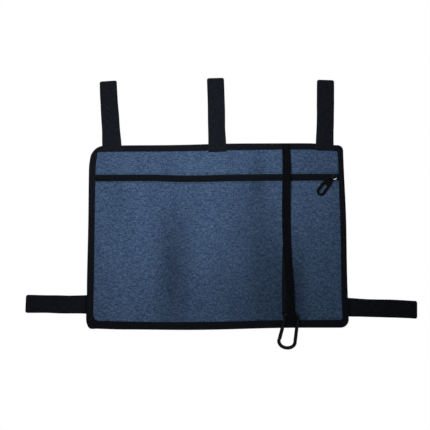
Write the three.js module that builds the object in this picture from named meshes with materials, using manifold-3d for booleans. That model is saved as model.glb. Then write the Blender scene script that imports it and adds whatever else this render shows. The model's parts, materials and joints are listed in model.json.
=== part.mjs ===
// A flat cloth storage bag that hangs on the front of a walker. Two cloth panels are bound together round
// the edge, and a zip across the front opens the pocket. Three straps at the top wrap over the walker's
// crossbar and two at the sides wrap round its legs. A key strap with a carabiner hangs over the front.
//
// Millimetres, +Z up. The origin is the middle of the bag's top edge, in the plane of its back.
// The front faces -Y, and +X is to the right of someone who looks at the front.
import * as THREE from "three";
import { mergeVertices } from "three/addons/utils/BufferGeometryUtils.js";
import Module from "manifold-3d";

const wasm = await Module();
wasm.setup();

// Gap left between pieces that touch
const clearance = 0.3;

// Bag and its cloth
const bagWidth = 400;
const bagHeight = 286;
const topLeftRadius = 20;
const topRightRadius = 9;
const bottomRightRadius = 12.5;
const bottomLeftRadius = 8;
const clothThickness = 1;
const pocketBulge = 8;
const pocketSag = 1.25;
const pocketFullness = 3;

// Edge tape, folded over the bag's edge
const bindingThickness = 0.8;
const topBindingWidth = 10.6;
const bottomBindingWidth = 12;
const leftBindingWidth = 11;
const rightBindingWidth = 8.5;

// Zip
const zipDrop = 54;
const zipBand = 10.8;
const tapeThickness = 0.6;
const tapeUnderlap = 8;
const coilHeight = 2.4;
const coilThickness = 1.6;
const coilGap = 1.6;

// Zip slider, its bail and its pull
const sliderLength = 12;
const sliderHeight = 9.4;
const sliderRadius = 2.5;
const sliderOuterPlate = 1.2;
const sliderInnerPlate = 0.9;
const sliderStemLength = 5;
const sliderInset = 16;
const bailOffset = 3.5;
const bailSpan = 8;
const bailWidth = 1.6;
const bailFoot = 1.4;
const bailCrown = 1.2;
const bailRoom = 3.4;
const pullAngle = THREE.MathUtils.degToRad(52.5);
const pullLength = 37;
const pullWidth = 11.4;
const pullNeckWidth = 7;
const pullNeckLength = 11;
const pullThickness = 1.8;
const pullRim = 2;
const pullEyeLength = 4.8;
const pullEyeWidth = 3.2;
const pullSlotLength = 16.5;
const pullSlotWidth = 5;

// Hook-and-loop straps
const strapWidth = 26.6;
const strapThickness = 2;
const strapEndRadius = 3;
const strapRoot = 10.9;
const foldRise = 4;
const crossbarSpan = 36;
const legSpan = 34;
const leftStrapX = -163.6;
const middleStrapX = 1.7;
const rightStrapX = 170.3;
const leftStrapLean = THREE.MathUtils.degToRad(-3.7);
const middleStrapLean = THREE.MathUtils.degToRad(-1.1);
const rightStrapLean = THREE.MathUtils.degToRad(2.4);
const leftStrapReach = 102.8;
const middleStrapReach = 106.2;
const rightStrapReach = 101.7;
const leftSideRise = 37.6;
const rightSideRise = 30.4;
const leftSideReach = 95;
const rightSideReach = 106.9;
const leftSideLift = THREE.MathUtils.degToRad(1.1);
const rightSideDip = THREE.MathUtils.degToRad(2.5);
const patchThickness = 1.2;
const patchMargin = 1;
const hookLength = 44;
const hookInset = 6;
const topLoopStart = 30;
const leftLoopStart = 16;
const rightLoopStart = 30;
const loopPatchLength = 38;

// Key strap
const keyStrapWidth = 12.4;
const keyStrapThickness = 1.6;
const keyStrapX = 110;
const keyStrapDrift = 2;
const driftStart = 172;
const driftEnd = 222;
const keyTabLength = 10;
const keyTabInset = 1;
const keyStrapSlope = 28;
const keyStrapLength = 283.6;
const keyStrapPass = 0.8;
const keyLoopHole = 20.6;
const keyLoopClearance = 0.55;

// Carabiner
const wireDiameter = 5;
const carabinerSeat = 17.5;
const carabinerTilt = THREE.MathUtils.degToRad(8.1);
const carabinerTopWidth = 19.6;
const carabinerCorner = 3;
const carabinerLength = 49.2;
const carabinerBottomWidth = 24.4;
const carabinerBottomDepth = 9.5;
const hingeDrop = 6.8;
const eyeThickness = 1.8;
const eyeRadius = 2.5;
const pinDiameter = 1.6;
const pinLength = 4.2;
const pinClearance = 0.15;
const gateDiameter = 4;
const gateCheek = 1;
const gateForkLength = 6.4;
const noseDrop = 38;
const noseGap = 0.8;
const gateSpringDiameter = 1.4;

// Layers of the bag from its back to its front: tape, cloth, slider's inner plate, zip tape, cloth, tape
const backPanelRear = -bindingThickness - clearance;
const backPanelFront = backPanelRear - clothThickness;
const sliderInnerRear = backPanelFront - clearance;
const tapeRear = sliderInnerRear - sliderInnerPlate - clearance;
const frontPanelRear = tapeRear - tapeThickness - clearance;
const frontFlangeRear = frontPanelRear - clothThickness - clearance;
const bagFront = frontFlangeRear - bindingThickness;

// Layers of the zip in front of its tapes
const coilRear = tapeRear - tapeThickness - clearance;
const sliderOuterRear = coilRear - coilThickness - clearance;
const sliderFront = sliderOuterRear - sliderOuterPlate;
const pullMiddle = sliderFront - bailRoom / 2;
const bailFront = sliderFront - bailRoom - bailCrown;

// The key strap hangs clear of the slider that passes behind it
const keyStrapRear = bailFront - keyStrapPass;
const keyStrapMiddle = keyStrapRear - keyStrapThickness / 2;

// The top of the carabiner lies in the loop at the key strap's end
const carabinerDrop = keyStrapLength - carabinerSeat;

// Edges of the cloth that shows inside the binding
const halfWidth = bagWidth / 2;
const innerLeft = -halfWidth + leftBindingWidth;
const innerRight = halfWidth - rightBindingWidth;
const innerBottom = -bagHeight + bottomBindingWidth;
const zipTop = -zipDrop + zipBand / 2;
const zipBottom = -zipDrop - zipBand / 2;

// How finely curves are cut
const arcSegments = 6;
const pinSides = 16;
const gateSides = 12;
const springSides = 10;
const wireSteps = 64;
const wireSegments = 5;
const panelColumns = 30;
const panelRows = 18;

// Share of a half width that a round end's corner radius takes
const nearlyRound = 0.98;

// Share of the bag's shorter side that the corner mitres reach in from the edge
const mitreReach = 0.45;

const blueCloth = new THREE.MeshStandardMaterial({ color: 0x35496a, roughness: 0.9, metalness: 0 });
const backCloth = new THREE.MeshStandardMaterial({ color: 0x2c3d59, roughness: 0.9, metalness: 0 });
const edgeTape = new THREE.MeshStandardMaterial({ color: 0x101113, roughness: 0.8, metalness: 0 });
const webbing = new THREE.MeshStandardMaterial({ color: 0x1b1d21, roughness: 0.85, metalness: 0 });
const hookFace = new THREE.MeshStandardMaterial({ color: 0x141518, roughness: 0.7, metalness: 0 });
const loopFace = new THREE.MeshStandardMaterial({ color: 0x1a1b1e, roughness: 0.95, metalness: 0 });
const zipTape = new THREE.MeshStandardMaterial({ color: 0x0e0f11, roughness: 0.8, metalness: 0 });
const zipCoil = new THREE.MeshStandardMaterial({ color: 0x0c0d0e, roughness: 0.45, metalness: 0 });
const blackPlastic = new THREE.MeshStandardMaterial({ color: 0x111214, roughness: 0.5, metalness: 0 });
const blackMetal = new THREE.MeshStandardMaterial({ color: 0x0b0b0c, roughness: 0.35, metalness: 0.6 });
const brightMetal = new THREE.MeshStandardMaterial({ color: 0xa7aaa8, roughness: 0.3, metalness: 1 });

const bag = new THREE.Group();

// The carabiner and the loop that holds it lean together
const carabiner = new THREE.Group();
carabiner.position.set(keyStrapX + keyStrapDrift, keyStrapMiddle, -carabinerDrop);
carabiner.rotation.y = carabinerTilt;
bag.add(carabiner);

function addPiece(parent, name, geometry, material) {
  const mesh = new THREE.Mesh(geometry, material);
  mesh.name = name;
  parent.add(mesh);
  return mesh;
}

// A closed geometry as a solid for joining and cutting
function solid(geometry) {
  const bare = geometry.clone();
  bare.deleteAttribute("normal");
  bare.deleteAttribute("uv");
  const merged = mergeVertices(bare, 1e-4);
  const triVerts = new Uint32Array(merged.index.array);
  const vertProperties = new Float32Array(merged.attributes.position.array);
  return new wasm.Manifold(new wasm.Mesh({ numProp: 3, vertProperties, triVerts }));
}

function geometryOf(made) {
  const mesh = made.getMesh();
  const geometry = new THREE.BufferGeometry();
  geometry.setAttribute("position", new THREE.BufferAttribute(mesh.vertProperties, 3));
  geometry.setIndex(new THREE.BufferAttribute(mesh.triVerts, 1));
  geometry.computeVertexNormals();
  return geometry;
}

// A rectangle in X and Z with its own radius at each corner
function outline(left, right, bottom, top, radii = {}) {
  const { topLeft = 0, topRight = 0, bottomRight = 0, bottomLeft = 0 } = radii;
  const quarter = Math.PI / 2;
  const shape = new THREE.Shape();
  const corner = (x, z, radius, start) => {
    if (radius > 0) shape.absarc(x, z, radius, start, start + quarter);
  };
  shape.moveTo(left + bottomLeft, bottom);
  shape.lineTo(right - bottomRight, bottom);
  corner(right - bottomRight, bottom + bottomRight, bottomRight, -quarter);
  shape.lineTo(right, top - topRight);
  corner(right - topRight, top - topRight, topRight, 0);
  shape.lineTo(left + topLeft, top);
  corner(left + topLeft, top - topLeft, topLeft, quarter);
  shape.lineTo(left, bottom + bottomLeft);
  corner(left + bottomLeft, bottom + bottomLeft, bottomLeft, 2 * quarter);
  return shape;
}

// A flat piece with its outline in X and Z, from its rear face towards the front
function plate(shape, rear, thickness) {
  const options = { depth: thickness, bevelEnabled: false, curveSegments: arcSegments };
  return new THREE.ExtrudeGeometry(shape, options).rotateX(Math.PI / 2).translate(0, rear, 0);
}

// A piece with its profile in Y and Z, along X
function beam(shape, left, width) {
  const options = { depth: width, bevelEnabled: false, curveSegments: arcSegments };
  const basis = new THREE.Matrix4().makeBasis(
    new THREE.Vector3(0, 1, 0),
    new THREE.Vector3(0, 0, 1),
    new THREE.Vector3(1, 0, 0),
  );
  return new THREE.ExtrudeGeometry(shape, options).applyMatrix4(basis).translate(left, 0, 0);
}

// The bag's outline moved in from its edge
function bagOutline(inset, bottom = -bagHeight + inset, top = -inset) {
  const radius = (edge) => Math.max(edge - inset, 0);
  const reachesTop = top === -inset;
  const reachesBottom = bottom === -bagHeight + inset;
  return outline(-halfWidth + inset, halfWidth - inset, bottom, top, {
    topLeft: reachesTop ? radius(topLeftRadius) : 0,
    topRight: reachesTop ? radius(topRightRadius) : 0,
    bottomRight: reachesBottom ? radius(bottomRightRadius) : 0,
    bottomLeft: reachesBottom ? radius(bottomLeftRadius) : 0,
  });
}

// How far the pocket's front swells at a point, with its fullest part below the middle
function bulgeAt(x, z) {
  const across = THREE.MathUtils.clamp((x - innerLeft) / (innerRight - innerLeft), 0, 1);
  const down = THREE.MathUtils.clamp((zipBottom - z) / (zipBottom - innerBottom), 0, 1);
  const crown = 1 - Math.abs(2 * across - 1) ** pocketFullness;
  return pocketBulge * crown * Math.sin(Math.PI * down ** pocketSag) ** 2;
}

// A closed sheet over a grid in X and Z whose rear face stands at rearAt
function sheet(left, right, bottom, top, rearAt, thickness, columns, rows) {
  const points = [];
  const index = [];
  const layer = (columns + 1) * (rows + 1);
  for (const depth of [thickness, 0]) {
    for (let row = 0; row <= rows; row += 1) {
      for (let column = 0; column <= columns; column += 1) {
        const x = left + ((right - left) * column) / columns;
        const z = bottom + ((top - bottom) * row) / rows;
        points.push(x, rearAt(x, z) - depth, z);
      }
    }
  }
  const quad = (a, b, c, d) => index.push(a, b, c, a, c, d);
  const front = (column, row) => row * (columns + 1) + column;
  const rear = (column, row) => layer + front(column, row);
  for (let row = 0; row < rows; row += 1) {
    for (let column = 0; column < columns; column += 1) {
      const next = column + 1;
      quad(front(column, row), front(next, row), front(next, row + 1), front(column, row + 1));
      quad(rear(column, row), rear(column, row + 1), rear(next, row + 1), rear(next, row));
    }
    quad(front(0, row), front(0, row + 1), rear(0, row + 1), rear(0, row));
    quad(front(columns, row), rear(columns, row), rear(columns, row + 1), front(columns, row + 1));
  }
  for (let column = 0; column < columns; column += 1) {
    const next = column + 1;
    quad(front(column, 0), rear(column, 0), rear(next, 0), front(next, 0));
    quad(front(column, rows), front(next, rows), rear(next, rows), rear(column, rows));
  }
  const geometry = new THREE.BufferGeometry();
  geometry.setAttribute("position", new THREE.Float32BufferAttribute(points, 3));
  geometry.setIndex(index);
  return geometry;
}

// Cloth panels
function addPanels() {
  const inset = bindingThickness + clearance;
  const overrun = 2;
  addPiece(bag, "back_panel", plate(bagOutline(inset), backPanelRear, clothThickness), backCloth);
  const upper = bagOutline(inset, zipTop);
  addPiece(bag, "front_upper_panel", plate(upper, frontPanelRear, clothThickness), blueCloth);
  const swell = sheet(
    -halfWidth - overrun,
    halfWidth + overrun,
    -bagHeight - overrun,
    zipBottom + overrun,
    (x, z) => frontPanelRear - bulgeAt(x, z),
    clothThickness,
    panelColumns,
    panelRows,
  );
  const depth = bagHeight;
  const cutter = plate(bagOutline(inset, undefined, zipBottom), depth / 2, depth);
  const lower = solid(swell).intersect(solid(cutter));
  addPiece(bag, "front_lower_panel", geometryOf(lower), blueCloth);
}

// Edge tape in four lengths that meet in mitres at the corners
function addBinding() {
  const ring = solid(plate(bagOutline(0), 0, -bagFront));
  const opening = outline(innerLeft, innerRight, innerBottom, -topBindingWidth);
  const margin = bagHeight;
  const through = solid(plate(opening, margin, 2 * margin));
  const slotDepth = bindingThickness + frontFlangeRear;
  const slot = solid(plate(bagOutline(bindingThickness), -bindingThickness, -slotDepth));
  const folded = ring.subtract(through).subtract(slot);
  const half = clearance / 2;
  const reach = Math.min(bagWidth, bagHeight) * mitreReach;
  const outside = halfWidth + margin;
  const below = -bagHeight - margin;
  const inLeft = -halfWidth + reach;
  const inRight = halfWidth - reach;
  const wedges = {
    top_binding: [
      [-outside + half, margin],
      [inLeft + half, -reach],
      [inRight - half, -reach],
      [outside - half, margin],
    ],
    bottom_binding: [
      [-outside + half, below],
      [outside - half, below],
      [inRight - half, -bagHeight + reach],
      [inLeft + half, -bagHeight + reach],
    ],
    left_binding: [
      [-outside - half, below],
      [inLeft - half, -bagHeight + reach],
      [inLeft - half, -reach],
      [-outside - half, margin],
    ],
    right_binding: [
      [outside + half, below],
      [outside + half, margin],
      [inRight + half, -reach],
      [inRight + half, -bagHeight + reach],
    ],
  };
  for (const [name, corners] of Object.entries(wedges)) {
    const wedge = new THREE.Shape(corners.map(([x, z]) => new THREE.Vector2(x, z)));
    const length = folded.intersect(solid(plate(wedge, margin, 2 * margin)));
    addPiece(bag, name, geometryOf(length), edgeTape);
  }
}

// Zip tapes and coils, which the slider's stem runs between
function addZip() {
  const tapeEnd = halfWidth - bindingThickness - clearance;
  const coilLeft = innerLeft + clearance;
  const coilRight = innerRight - clearance;
  const slotTop = -zipDrop + coilGap / 2;
  const slotBottom = -zipDrop - coilGap / 2;
  const tapes = {
    zip_tape_upper: outline(-tapeEnd, tapeEnd, slotTop, zipTop + tapeUnderlap),
    zip_tape_lower: outline(-tapeEnd, tapeEnd, zipBottom - tapeUnderlap, slotBottom),
  };
  const coils = {
    zip_coil_upper: outline(coilLeft, coilRight, slotTop, slotTop + coilHeight),
    zip_coil_lower: outline(coilLeft, coilRight, slotBottom - coilHeight, slotBottom),
  };
  for (const [name, shape] of Object.entries(tapes)) {
    addPiece(bag, name, plate(shape, tapeRear, tapeThickness), zipTape);
  }
  for (const [name, shape] of Object.entries(coils)) {
    addPiece(bag, name, plate(shape, coilRear, coilThickness), zipCoil);
  }
}

// Slider with its two plates and stem, the bail on it, and the pull under the bail
function addSlider() {
  const group = new THREE.Group();
  group.position.set(halfWidth - sliderInset, 0, -zipDrop);
  bag.add(group);
  const length = sliderLength / 2;
  const height = sliderHeight / 2;
  const round = {
    topLeft: sliderRadius,
    topRight: sliderRadius,
    bottomRight: sliderRadius,
    bottomLeft: sliderRadius,
  };
  const face = outline(-length, length, -height, height, round);
  const outer = solid(plate(face, sliderOuterRear, sliderOuterPlate));
  const inner = solid(plate(face, sliderInnerRear, sliderInnerPlate));
  const stemHeight = coilGap / 2 - clearance;
  const stemShape = outline(-sliderStemLength / 2, sliderStemLength / 2, -stemHeight, stemHeight);
  const stemDepth = sliderInnerRear - sliderFront - sliderOuterPlate / 2 - sliderInnerPlate / 2;
  const stem = solid(plate(stemShape, sliderInnerRear - sliderInnerPlate / 2, stemDepth));
  addPiece(group, "zip_slider", geometryOf(outer.add(stem).add(inner)), blackMetal);

  const turned = new THREE.Group();
  turned.position.x = -bailOffset;
  turned.rotation.y = -pullAngle - Math.PI;
  group.add(turned);
  const feet = sliderFront - clearance;
  const crownRear = sliderFront - bailRoom;
  const halfSpan = bailSpan / 2;
  const arch = new THREE.Shape();
  arch.moveTo(-halfSpan, feet);
  arch.lineTo(-halfSpan, bailFront);
  arch.lineTo(halfSpan, bailFront);
  arch.lineTo(halfSpan, feet);
  arch.lineTo(halfSpan - bailFoot, feet);
  arch.lineTo(halfSpan - bailFoot, crownRear);
  arch.lineTo(-halfSpan + bailFoot, crownRear);
  arch.lineTo(-halfSpan + bailFoot, feet);
  arch.closePath();
  const archOptions = { depth: bailWidth, bevelEnabled: false };
  const bail = new THREE.ExtrudeGeometry(arch, archOptions).translate(0, 0, -bailWidth / 2);
  addPiece(turned, "zip_bail", bail, brightMetal);

  const tabStart = -pullRim / 2;
  const tabEnd = tabStart + pullLength;
  const neckEnd = tabStart + pullNeckLength;
  const wide = pullWidth / 2;
  const narrow = pullNeckWidth / 2;
  const shoulder = pullNeckLength / 2;
  const tab = new THREE.Shape();
  tab.moveTo(tabStart, -narrow);
  tab.lineTo(neckEnd - shoulder, -narrow);
  tab.lineTo(neckEnd, -wide);
  tab.lineTo(tabEnd - wide, -wide);
  tab.absarc(tabEnd - wide, 0, wide, -Math.PI / 2, Math.PI / 2);
  tab.lineTo(neckEnd, wide);
  tab.lineTo(neckEnd - shoulder, narrow);
  tab.lineTo(tabStart, narrow);
  tab.closePath();
  const eye = outline(pullRim / 2, pullRim / 2 + pullEyeLength, -pullEyeWidth / 2, pullEyeWidth / 2);
  const slotHalf = pullSlotWidth / 2;
  const slotEnd = tabEnd - (pullWidth - pullSlotWidth) / 2;
  const radius = slotHalf * nearlyRound;
  const slotCorners = { topLeft: radius, topRight: radius, bottomRight: radius, bottomLeft: radius };
  const slot = outline(slotEnd - pullSlotLength, slotEnd, -slotHalf, slotHalf, slotCorners);
  tab.holes.push(eye, slot);
  const pull = plate(tab, pullMiddle + pullThickness / 2, pullThickness);
  addPiece(turned, "zip_pull", pull, blackPlastic);
}

// One strap in its own frame: its length runs along +Z from the bag's edge, and it folds towards +Y.
// The tail folds round the tube, and its hook patch closes on the loop patch on the bag's back.
function addStrap({ name, x, z, turn, rear, reach, span, loopStart }) {
  const group = new THREE.Group();
  group.position.set(x, 0, z);
  group.rotation.y = turn;
  bag.add(group);
  const half = strapWidth / 2;
  const tailStart = foldRise + span + clearance;
  const endRadii = { topLeft: strapEndRadius, topRight: strapEndRadius };
  const base = outline(-half, half, -strapRoot, foldRise);
  const over = outline(-half, half, foldRise + clearance, foldRise + span);
  const tail = outline(-half, half, tailStart, reach, endRadii);
  addPiece(group, `${name}_base`, plate(base, rear, strapThickness), webbing);
  addPiece(group, `${name}_over`, plate(over, rear, strapThickness), webbing);
  addPiece(group, `${name}_tail`, plate(tail, rear, strapThickness), webbing);

  const patchHalf = half - patchMargin;
  const hookTop = reach - hookInset;
  const hook = outline(-patchHalf, patchHalf, hookTop - hookLength, hookTop);
  const hookRear = rear + clearance + patchThickness;
  addPiece(group, `${name}_hook`, plate(hook, hookRear, patchThickness), hookFace);
  const loop = outline(-half, half, -loopStart - loopPatchLength, -loopStart);
  const loopRear = backPanelRear + clearance + patchThickness;
  addPiece(group, `${name}_loop`, plate(loop, loopRear, patchThickness), loopFace);
}

function addStraps() {
  const onFront = bagFront - clearance;
  const onBack = clearance + strapThickness;
  const quarter = Math.PI / 2;
  const top = { z: 0, rear: onFront, span: crossbarSpan, loopStart: topLoopStart };
  const side = { rear: onBack, span: legSpan };
  addStrap({ ...top, name: "top_left", x: leftStrapX, turn: leftStrapLean, reach: leftStrapReach });
  addStrap({ ...top, name: "top_middle", x: middleStrapX, turn: middleStrapLean, reach: middleStrapReach });
  addStrap({ ...top, name: "top_right", x: rightStrapX, turn: rightStrapLean, reach: rightStrapReach });
  addStrap({
    ...side,
    name: "side_left",
    x: -halfWidth,
    z: -bagHeight + leftSideRise,
    turn: -quarter + leftSideLift,
    reach: leftSideReach,
    loopStart: leftLoopStart,
  });
  addStrap({
    ...side,
    name: "side_right",
    x: halfWidth,
    z: -bagHeight + rightSideRise,
    turn: quarter + rightSideDip,
    reach: rightSideReach,
    loopStart: rightLoopStart,
  });
}

// Key strap: a sewn tab, a length that slopes out over the zip, the hanging length and its end loop
function addKeyStrap() {
  const half = keyStrapWidth / 2;
  const left = keyStrapX - half;
  const tabRear = bagFront - clearance;
  const tabBottom = -keyTabInset - keyTabLength;
  const tab = outline(left, left + keyStrapWidth, tabBottom, -keyTabInset);
  addPiece(bag, "key_strap_tab", plate(tab, tabRear, keyStrapThickness), webbing);

  const slopeTop = tabBottom - clearance;
  const slopeBottom = slopeTop - keyStrapSlope;
  const slope = new THREE.Shape();
  slope.moveTo(tabRear, slopeTop);
  slope.lineTo(tabRear - keyStrapThickness, slopeTop);
  slope.lineTo(keyStrapRear - keyStrapThickness, slopeBottom);
  slope.lineTo(keyStrapRear, slopeBottom);
  slope.closePath();
  addPiece(bag, "key_strap_upper", beam(slope, left, keyStrapWidth), webbing);

  const loopWall = keyStrapThickness;
  const boreHalf = wireDiameter / 2 + keyLoopClearance;
  const loopTop = -keyStrapLength + keyLoopHole + 2 * loopWall;
  const hangTop = slopeBottom - clearance;
  const hangBottom = loopTop + 2 * clearance;
  const slant = half * Math.tan(carabinerTilt);
  const lowLeft = left + keyStrapDrift;
  const right = left + keyStrapWidth;
  const lowRight = lowLeft + keyStrapWidth;
  const bend = (driftEnd - driftStart) / 2;
  const hanging = new THREE.Shape();
  hanging.moveTo(left, hangTop);
  hanging.lineTo(left, -driftStart);
  hanging.bezierCurveTo(left, -driftStart - bend, lowLeft, -driftEnd + bend, lowLeft, -driftEnd);
  hanging.lineTo(lowLeft, hangBottom + slant);
  hanging.lineTo(lowRight, hangBottom - slant);
  hanging.lineTo(lowRight, -driftEnd);
  hanging.bezierCurveTo(lowRight, -driftEnd + bend, right, -driftStart - bend, right, -driftStart);
  hanging.lineTo(right, hangTop);
  hanging.closePath();
  addPiece(bag, "key_strap_lower", plate(hanging, keyStrapRear, keyStrapThickness), webbing);

  // The end loop leans with the carabiner that it holds
  const ring = (halfDepth, bottom, top) => {
    const radius = halfDepth * nearlyRound;
    const corners = { topLeft: radius, topRight: radius, bottomRight: radius, bottomLeft: radius };
    return outline(-halfDepth, halfDepth, bottom + carabinerDrop, top + carabinerDrop, corners);
  };
  const loop = ring(boreHalf + loopWall, -keyStrapLength, loopTop);
  loop.holes.push(ring(boreHalf, -keyStrapLength + loopWall, loopTop - loopWall));
  addPiece(carabiner, "key_strap_loop", beam(loop, -half, keyStrapWidth), webbing);
}

// Centre line of the carabiner's wire, from the gate's hinge over the top, down the spine to the nose
function wirePath(noseX) {
  const at = (x, z) => new THREE.Vector3(x, 0, z);
  const side = carabinerTopWidth / 2;
  const corner = carabinerCorner;
  const bottom = -carabinerLength;
  const turn = bottom + carabinerBottomDepth;
  const middle = side - carabinerBottomWidth / 2;
  const far = side - carabinerBottomWidth;
  const roundness = 0.5523;
  const pull = (carabinerBottomWidth / 2) * roundness;
  const drop = carabinerBottomDepth * (1 - roundness);
  const path = new THREE.CurvePath();
  path.add(new THREE.QuadraticBezierCurve3(at(-side, -corner), at(-side, 0), at(-side + corner, 0)));
  path.add(new THREE.LineCurve3(at(-side + corner, 0), at(side - corner, 0)));
  path.add(new THREE.QuadraticBezierCurve3(at(side - corner, 0), at(side, 0), at(side, -corner)));
  path.add(new THREE.LineCurve3(at(side, -corner), at(side, turn)));
  const lowest = at(middle, bottom);
  const rightHalf = [at(side, turn), at(side, bottom + drop), at(middle + pull, bottom), lowest];
  const leftHalf = [lowest, at(middle - pull, bottom), at(far, bottom + drop), at(far, turn)];
  path.add(new THREE.CubicBezierCurve3(...rightHalf));
  path.add(new THREE.CubicBezierCurve3(...leftHalf));
  path.add(new THREE.LineCurve3(at(far, turn), at(noseX, -noseDrop)));
  return path;
}

// A round bar along Y
function crossPin(radius, length, x, z) {
  return new THREE.CylinderGeometry(radius, radius, length, pinSides).translate(x, 0, z);
}

// A flat stadium between two points one above the other, its thickness centred on Y
function link(x, top, bottom, radius, rear, thickness) {
  const shape = new THREE.Shape();
  shape.absarc(x, top, radius, 0, Math.PI);
  shape.absarc(x, bottom, radius, Math.PI, 2 * Math.PI);
  shape.closePath();
  return plate(shape, rear, thickness);
}

function addCarabiner() {
  const hingeX = -carabinerTopWidth / 2;
  const far = carabinerTopWidth / 2 - carabinerBottomWidth;
  const turn = -carabinerLength + carabinerBottomDepth;
  const noseShare = (-noseDrop - turn) / (-hingeDrop - turn);
  const noseX = THREE.MathUtils.lerp(far, hingeX, noseShare);

  const wire = new THREE.Shape().absarc(0, 0, wireDiameter / 2, 0, 2 * Math.PI);
  const wireOptions = {
    steps: wireSteps,
    curveSegments: wireSegments,
    bevelEnabled: false,
    extrudePath: wirePath(noseX),
  };
  const tube = solid(new THREE.ExtrudeGeometry(wire, wireOptions));
  const eye = solid(link(hingeX, -carabinerCorner, -hingeDrop, eyeRadius, eyeThickness / 2, eyeThickness));
  const hole = solid(crossPin(pinDiameter / 2 + pinClearance, 2 * wireDiameter, hingeX, -hingeDrop));
  addPiece(carabiner, "carabiner_body", geometryOf(tube.add(eye).subtract(hole)), blackMetal);
  addPiece(carabiner, "gate_pin", crossPin(pinDiameter / 2, pinLength, hingeX, -hingeDrop), blackMetal);

  const gate = new THREE.Group();
  gate.position.set(hingeX, 0, -hingeDrop);
  gate.rotation.y = Math.atan2(hingeX - noseX, noseDrop - hingeDrop);
  carabiner.add(gate);
  const gateLength = Math.hypot(hingeX - noseX, noseDrop - hingeDrop) - noseGap;
  const barRadius = gateDiameter / 2;
  const barLength = gateLength - gateForkLength;
  const barMiddle = -gateForkLength - barLength / 2;
  const bar = new THREE.CylinderGeometry(barRadius, barRadius, barLength, gateSides);
  bar.rotateX(Math.PI / 2).translate(0, 0, barMiddle);
  const cheekInner = eyeThickness / 2 + clearance;
  const cheekBottom = -gateForkLength - barRadius / 2;
  const cheek = (rear) => solid(link(0, 0, cheekBottom, barRadius, rear, gateCheek));
  const fork = solid(bar).add(cheek(cheekInner + gateCheek)).add(cheek(-cheekInner));
  const gateHole = solid(crossPin(pinDiameter / 2 + pinClearance, 2 * wireDiameter, 0, 0));
  addPiece(gate, "carabiner_gate", geometryOf(fork.subtract(gateHole)), blackMetal);

  const springTop = -eyeRadius - clearance;
  const springLength = gateForkLength - eyeRadius - 2 * clearance;
  const springRadius = gateSpringDiameter / 2;
  const spring = new THREE.CylinderGeometry(springRadius, springRadius, springLength, springSides);
  spring.rotateX(Math.PI / 2).translate(0, 0, springTop - springLength / 2);
  addPiece(gate, "gate_spring", spring, brightMetal);
}

addPanels();
addBinding();
addZip();
addSlider();
addStraps();
addKeyStrap();
addCarabiner();

export default bag;
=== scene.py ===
"""A walker storage bag in blue heathered cloth, dressed around its CAD frame.

Metres, +Z up. The origin is the middle of the bag's top edge, in the plane of its back.
The front faces -Y.
"""

import dataclasses
import functools
import json
import math

import bmesh
import bpy
from mathutils import Matrix, Quaternion, Vector, noise


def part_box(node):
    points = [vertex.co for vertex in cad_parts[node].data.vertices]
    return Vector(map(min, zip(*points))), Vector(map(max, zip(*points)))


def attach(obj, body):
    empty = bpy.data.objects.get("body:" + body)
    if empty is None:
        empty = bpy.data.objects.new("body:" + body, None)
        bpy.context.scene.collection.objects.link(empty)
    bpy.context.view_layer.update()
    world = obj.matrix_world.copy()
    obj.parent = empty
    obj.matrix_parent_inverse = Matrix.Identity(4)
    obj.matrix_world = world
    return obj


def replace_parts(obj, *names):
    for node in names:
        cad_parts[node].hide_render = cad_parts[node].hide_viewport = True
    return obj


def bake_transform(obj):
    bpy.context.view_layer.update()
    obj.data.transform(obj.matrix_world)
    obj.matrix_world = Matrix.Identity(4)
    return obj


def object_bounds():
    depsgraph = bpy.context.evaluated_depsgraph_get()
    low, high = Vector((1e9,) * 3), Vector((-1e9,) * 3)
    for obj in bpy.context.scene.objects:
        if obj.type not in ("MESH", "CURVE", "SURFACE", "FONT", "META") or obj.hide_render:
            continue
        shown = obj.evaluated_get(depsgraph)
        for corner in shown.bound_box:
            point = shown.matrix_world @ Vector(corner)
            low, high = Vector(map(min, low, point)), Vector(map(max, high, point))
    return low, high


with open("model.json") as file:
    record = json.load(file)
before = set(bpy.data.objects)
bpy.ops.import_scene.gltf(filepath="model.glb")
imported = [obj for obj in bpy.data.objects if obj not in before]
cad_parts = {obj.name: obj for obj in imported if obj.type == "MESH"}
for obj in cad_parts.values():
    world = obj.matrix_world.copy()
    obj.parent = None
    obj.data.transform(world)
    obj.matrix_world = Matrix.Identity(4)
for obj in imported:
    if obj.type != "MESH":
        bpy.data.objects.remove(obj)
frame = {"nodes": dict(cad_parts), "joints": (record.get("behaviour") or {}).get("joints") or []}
cad_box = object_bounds()

bl_info = {
    "name": "Walker storage bag",
    "version": (1, 0, 0),
    "blender": (4, 5, 0),
    "location": "3D View > Sidebar > Walker bag",
    "description": "Makes the cloth, edge tape, zip, straps and carabiner of a walker storage bag",
    "category": "Object",
}

MM = 0.001
SURFACE = "surface"
# Mesh attribute that carries painted shade into the woven materials' colour
PAINTED_SHADE = "fold_shade"
BAG = "bag"
STRAPS = ("top_left", "top_middle", "top_right", "side_left", "side_right")
SMOOTH_ANGLE = math.radians(42)
FLAT_ANGLE = math.radians(1)
SHARP_ANGLE = math.radians(35)
RIGHT = Vector((1, 0, 0))
UP = Vector((0, 0, 1))
FRONT = Vector((0, -1, 0))
BACK = Vector((0, 1, 0))
FABRIC_SPECULAR = 0.02
PLASTIC_SPECULAR = 0.03
METAL_COAT_SPECULAR = 0.05
joints = {joint["name"]: joint for joint in frame["joints"]}


def linear(code):
    """A screen colour such as "35496a" as linear red, green, blue and alpha."""
    channels = [int(code[i : i + 2], 16) / 255 for i in (0, 2, 4)]
    bright = [c / 12.92 if c <= 0.04045 else ((c + 0.055) / 1.055) ** 2.4 for c in channels]
    return (*bright, 1.0)


# Settings


def length(name, text, millimetres):
    return bpy.props.FloatProperty(name=name, description=text, default=millimetres * MM, unit="LENGTH")


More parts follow.
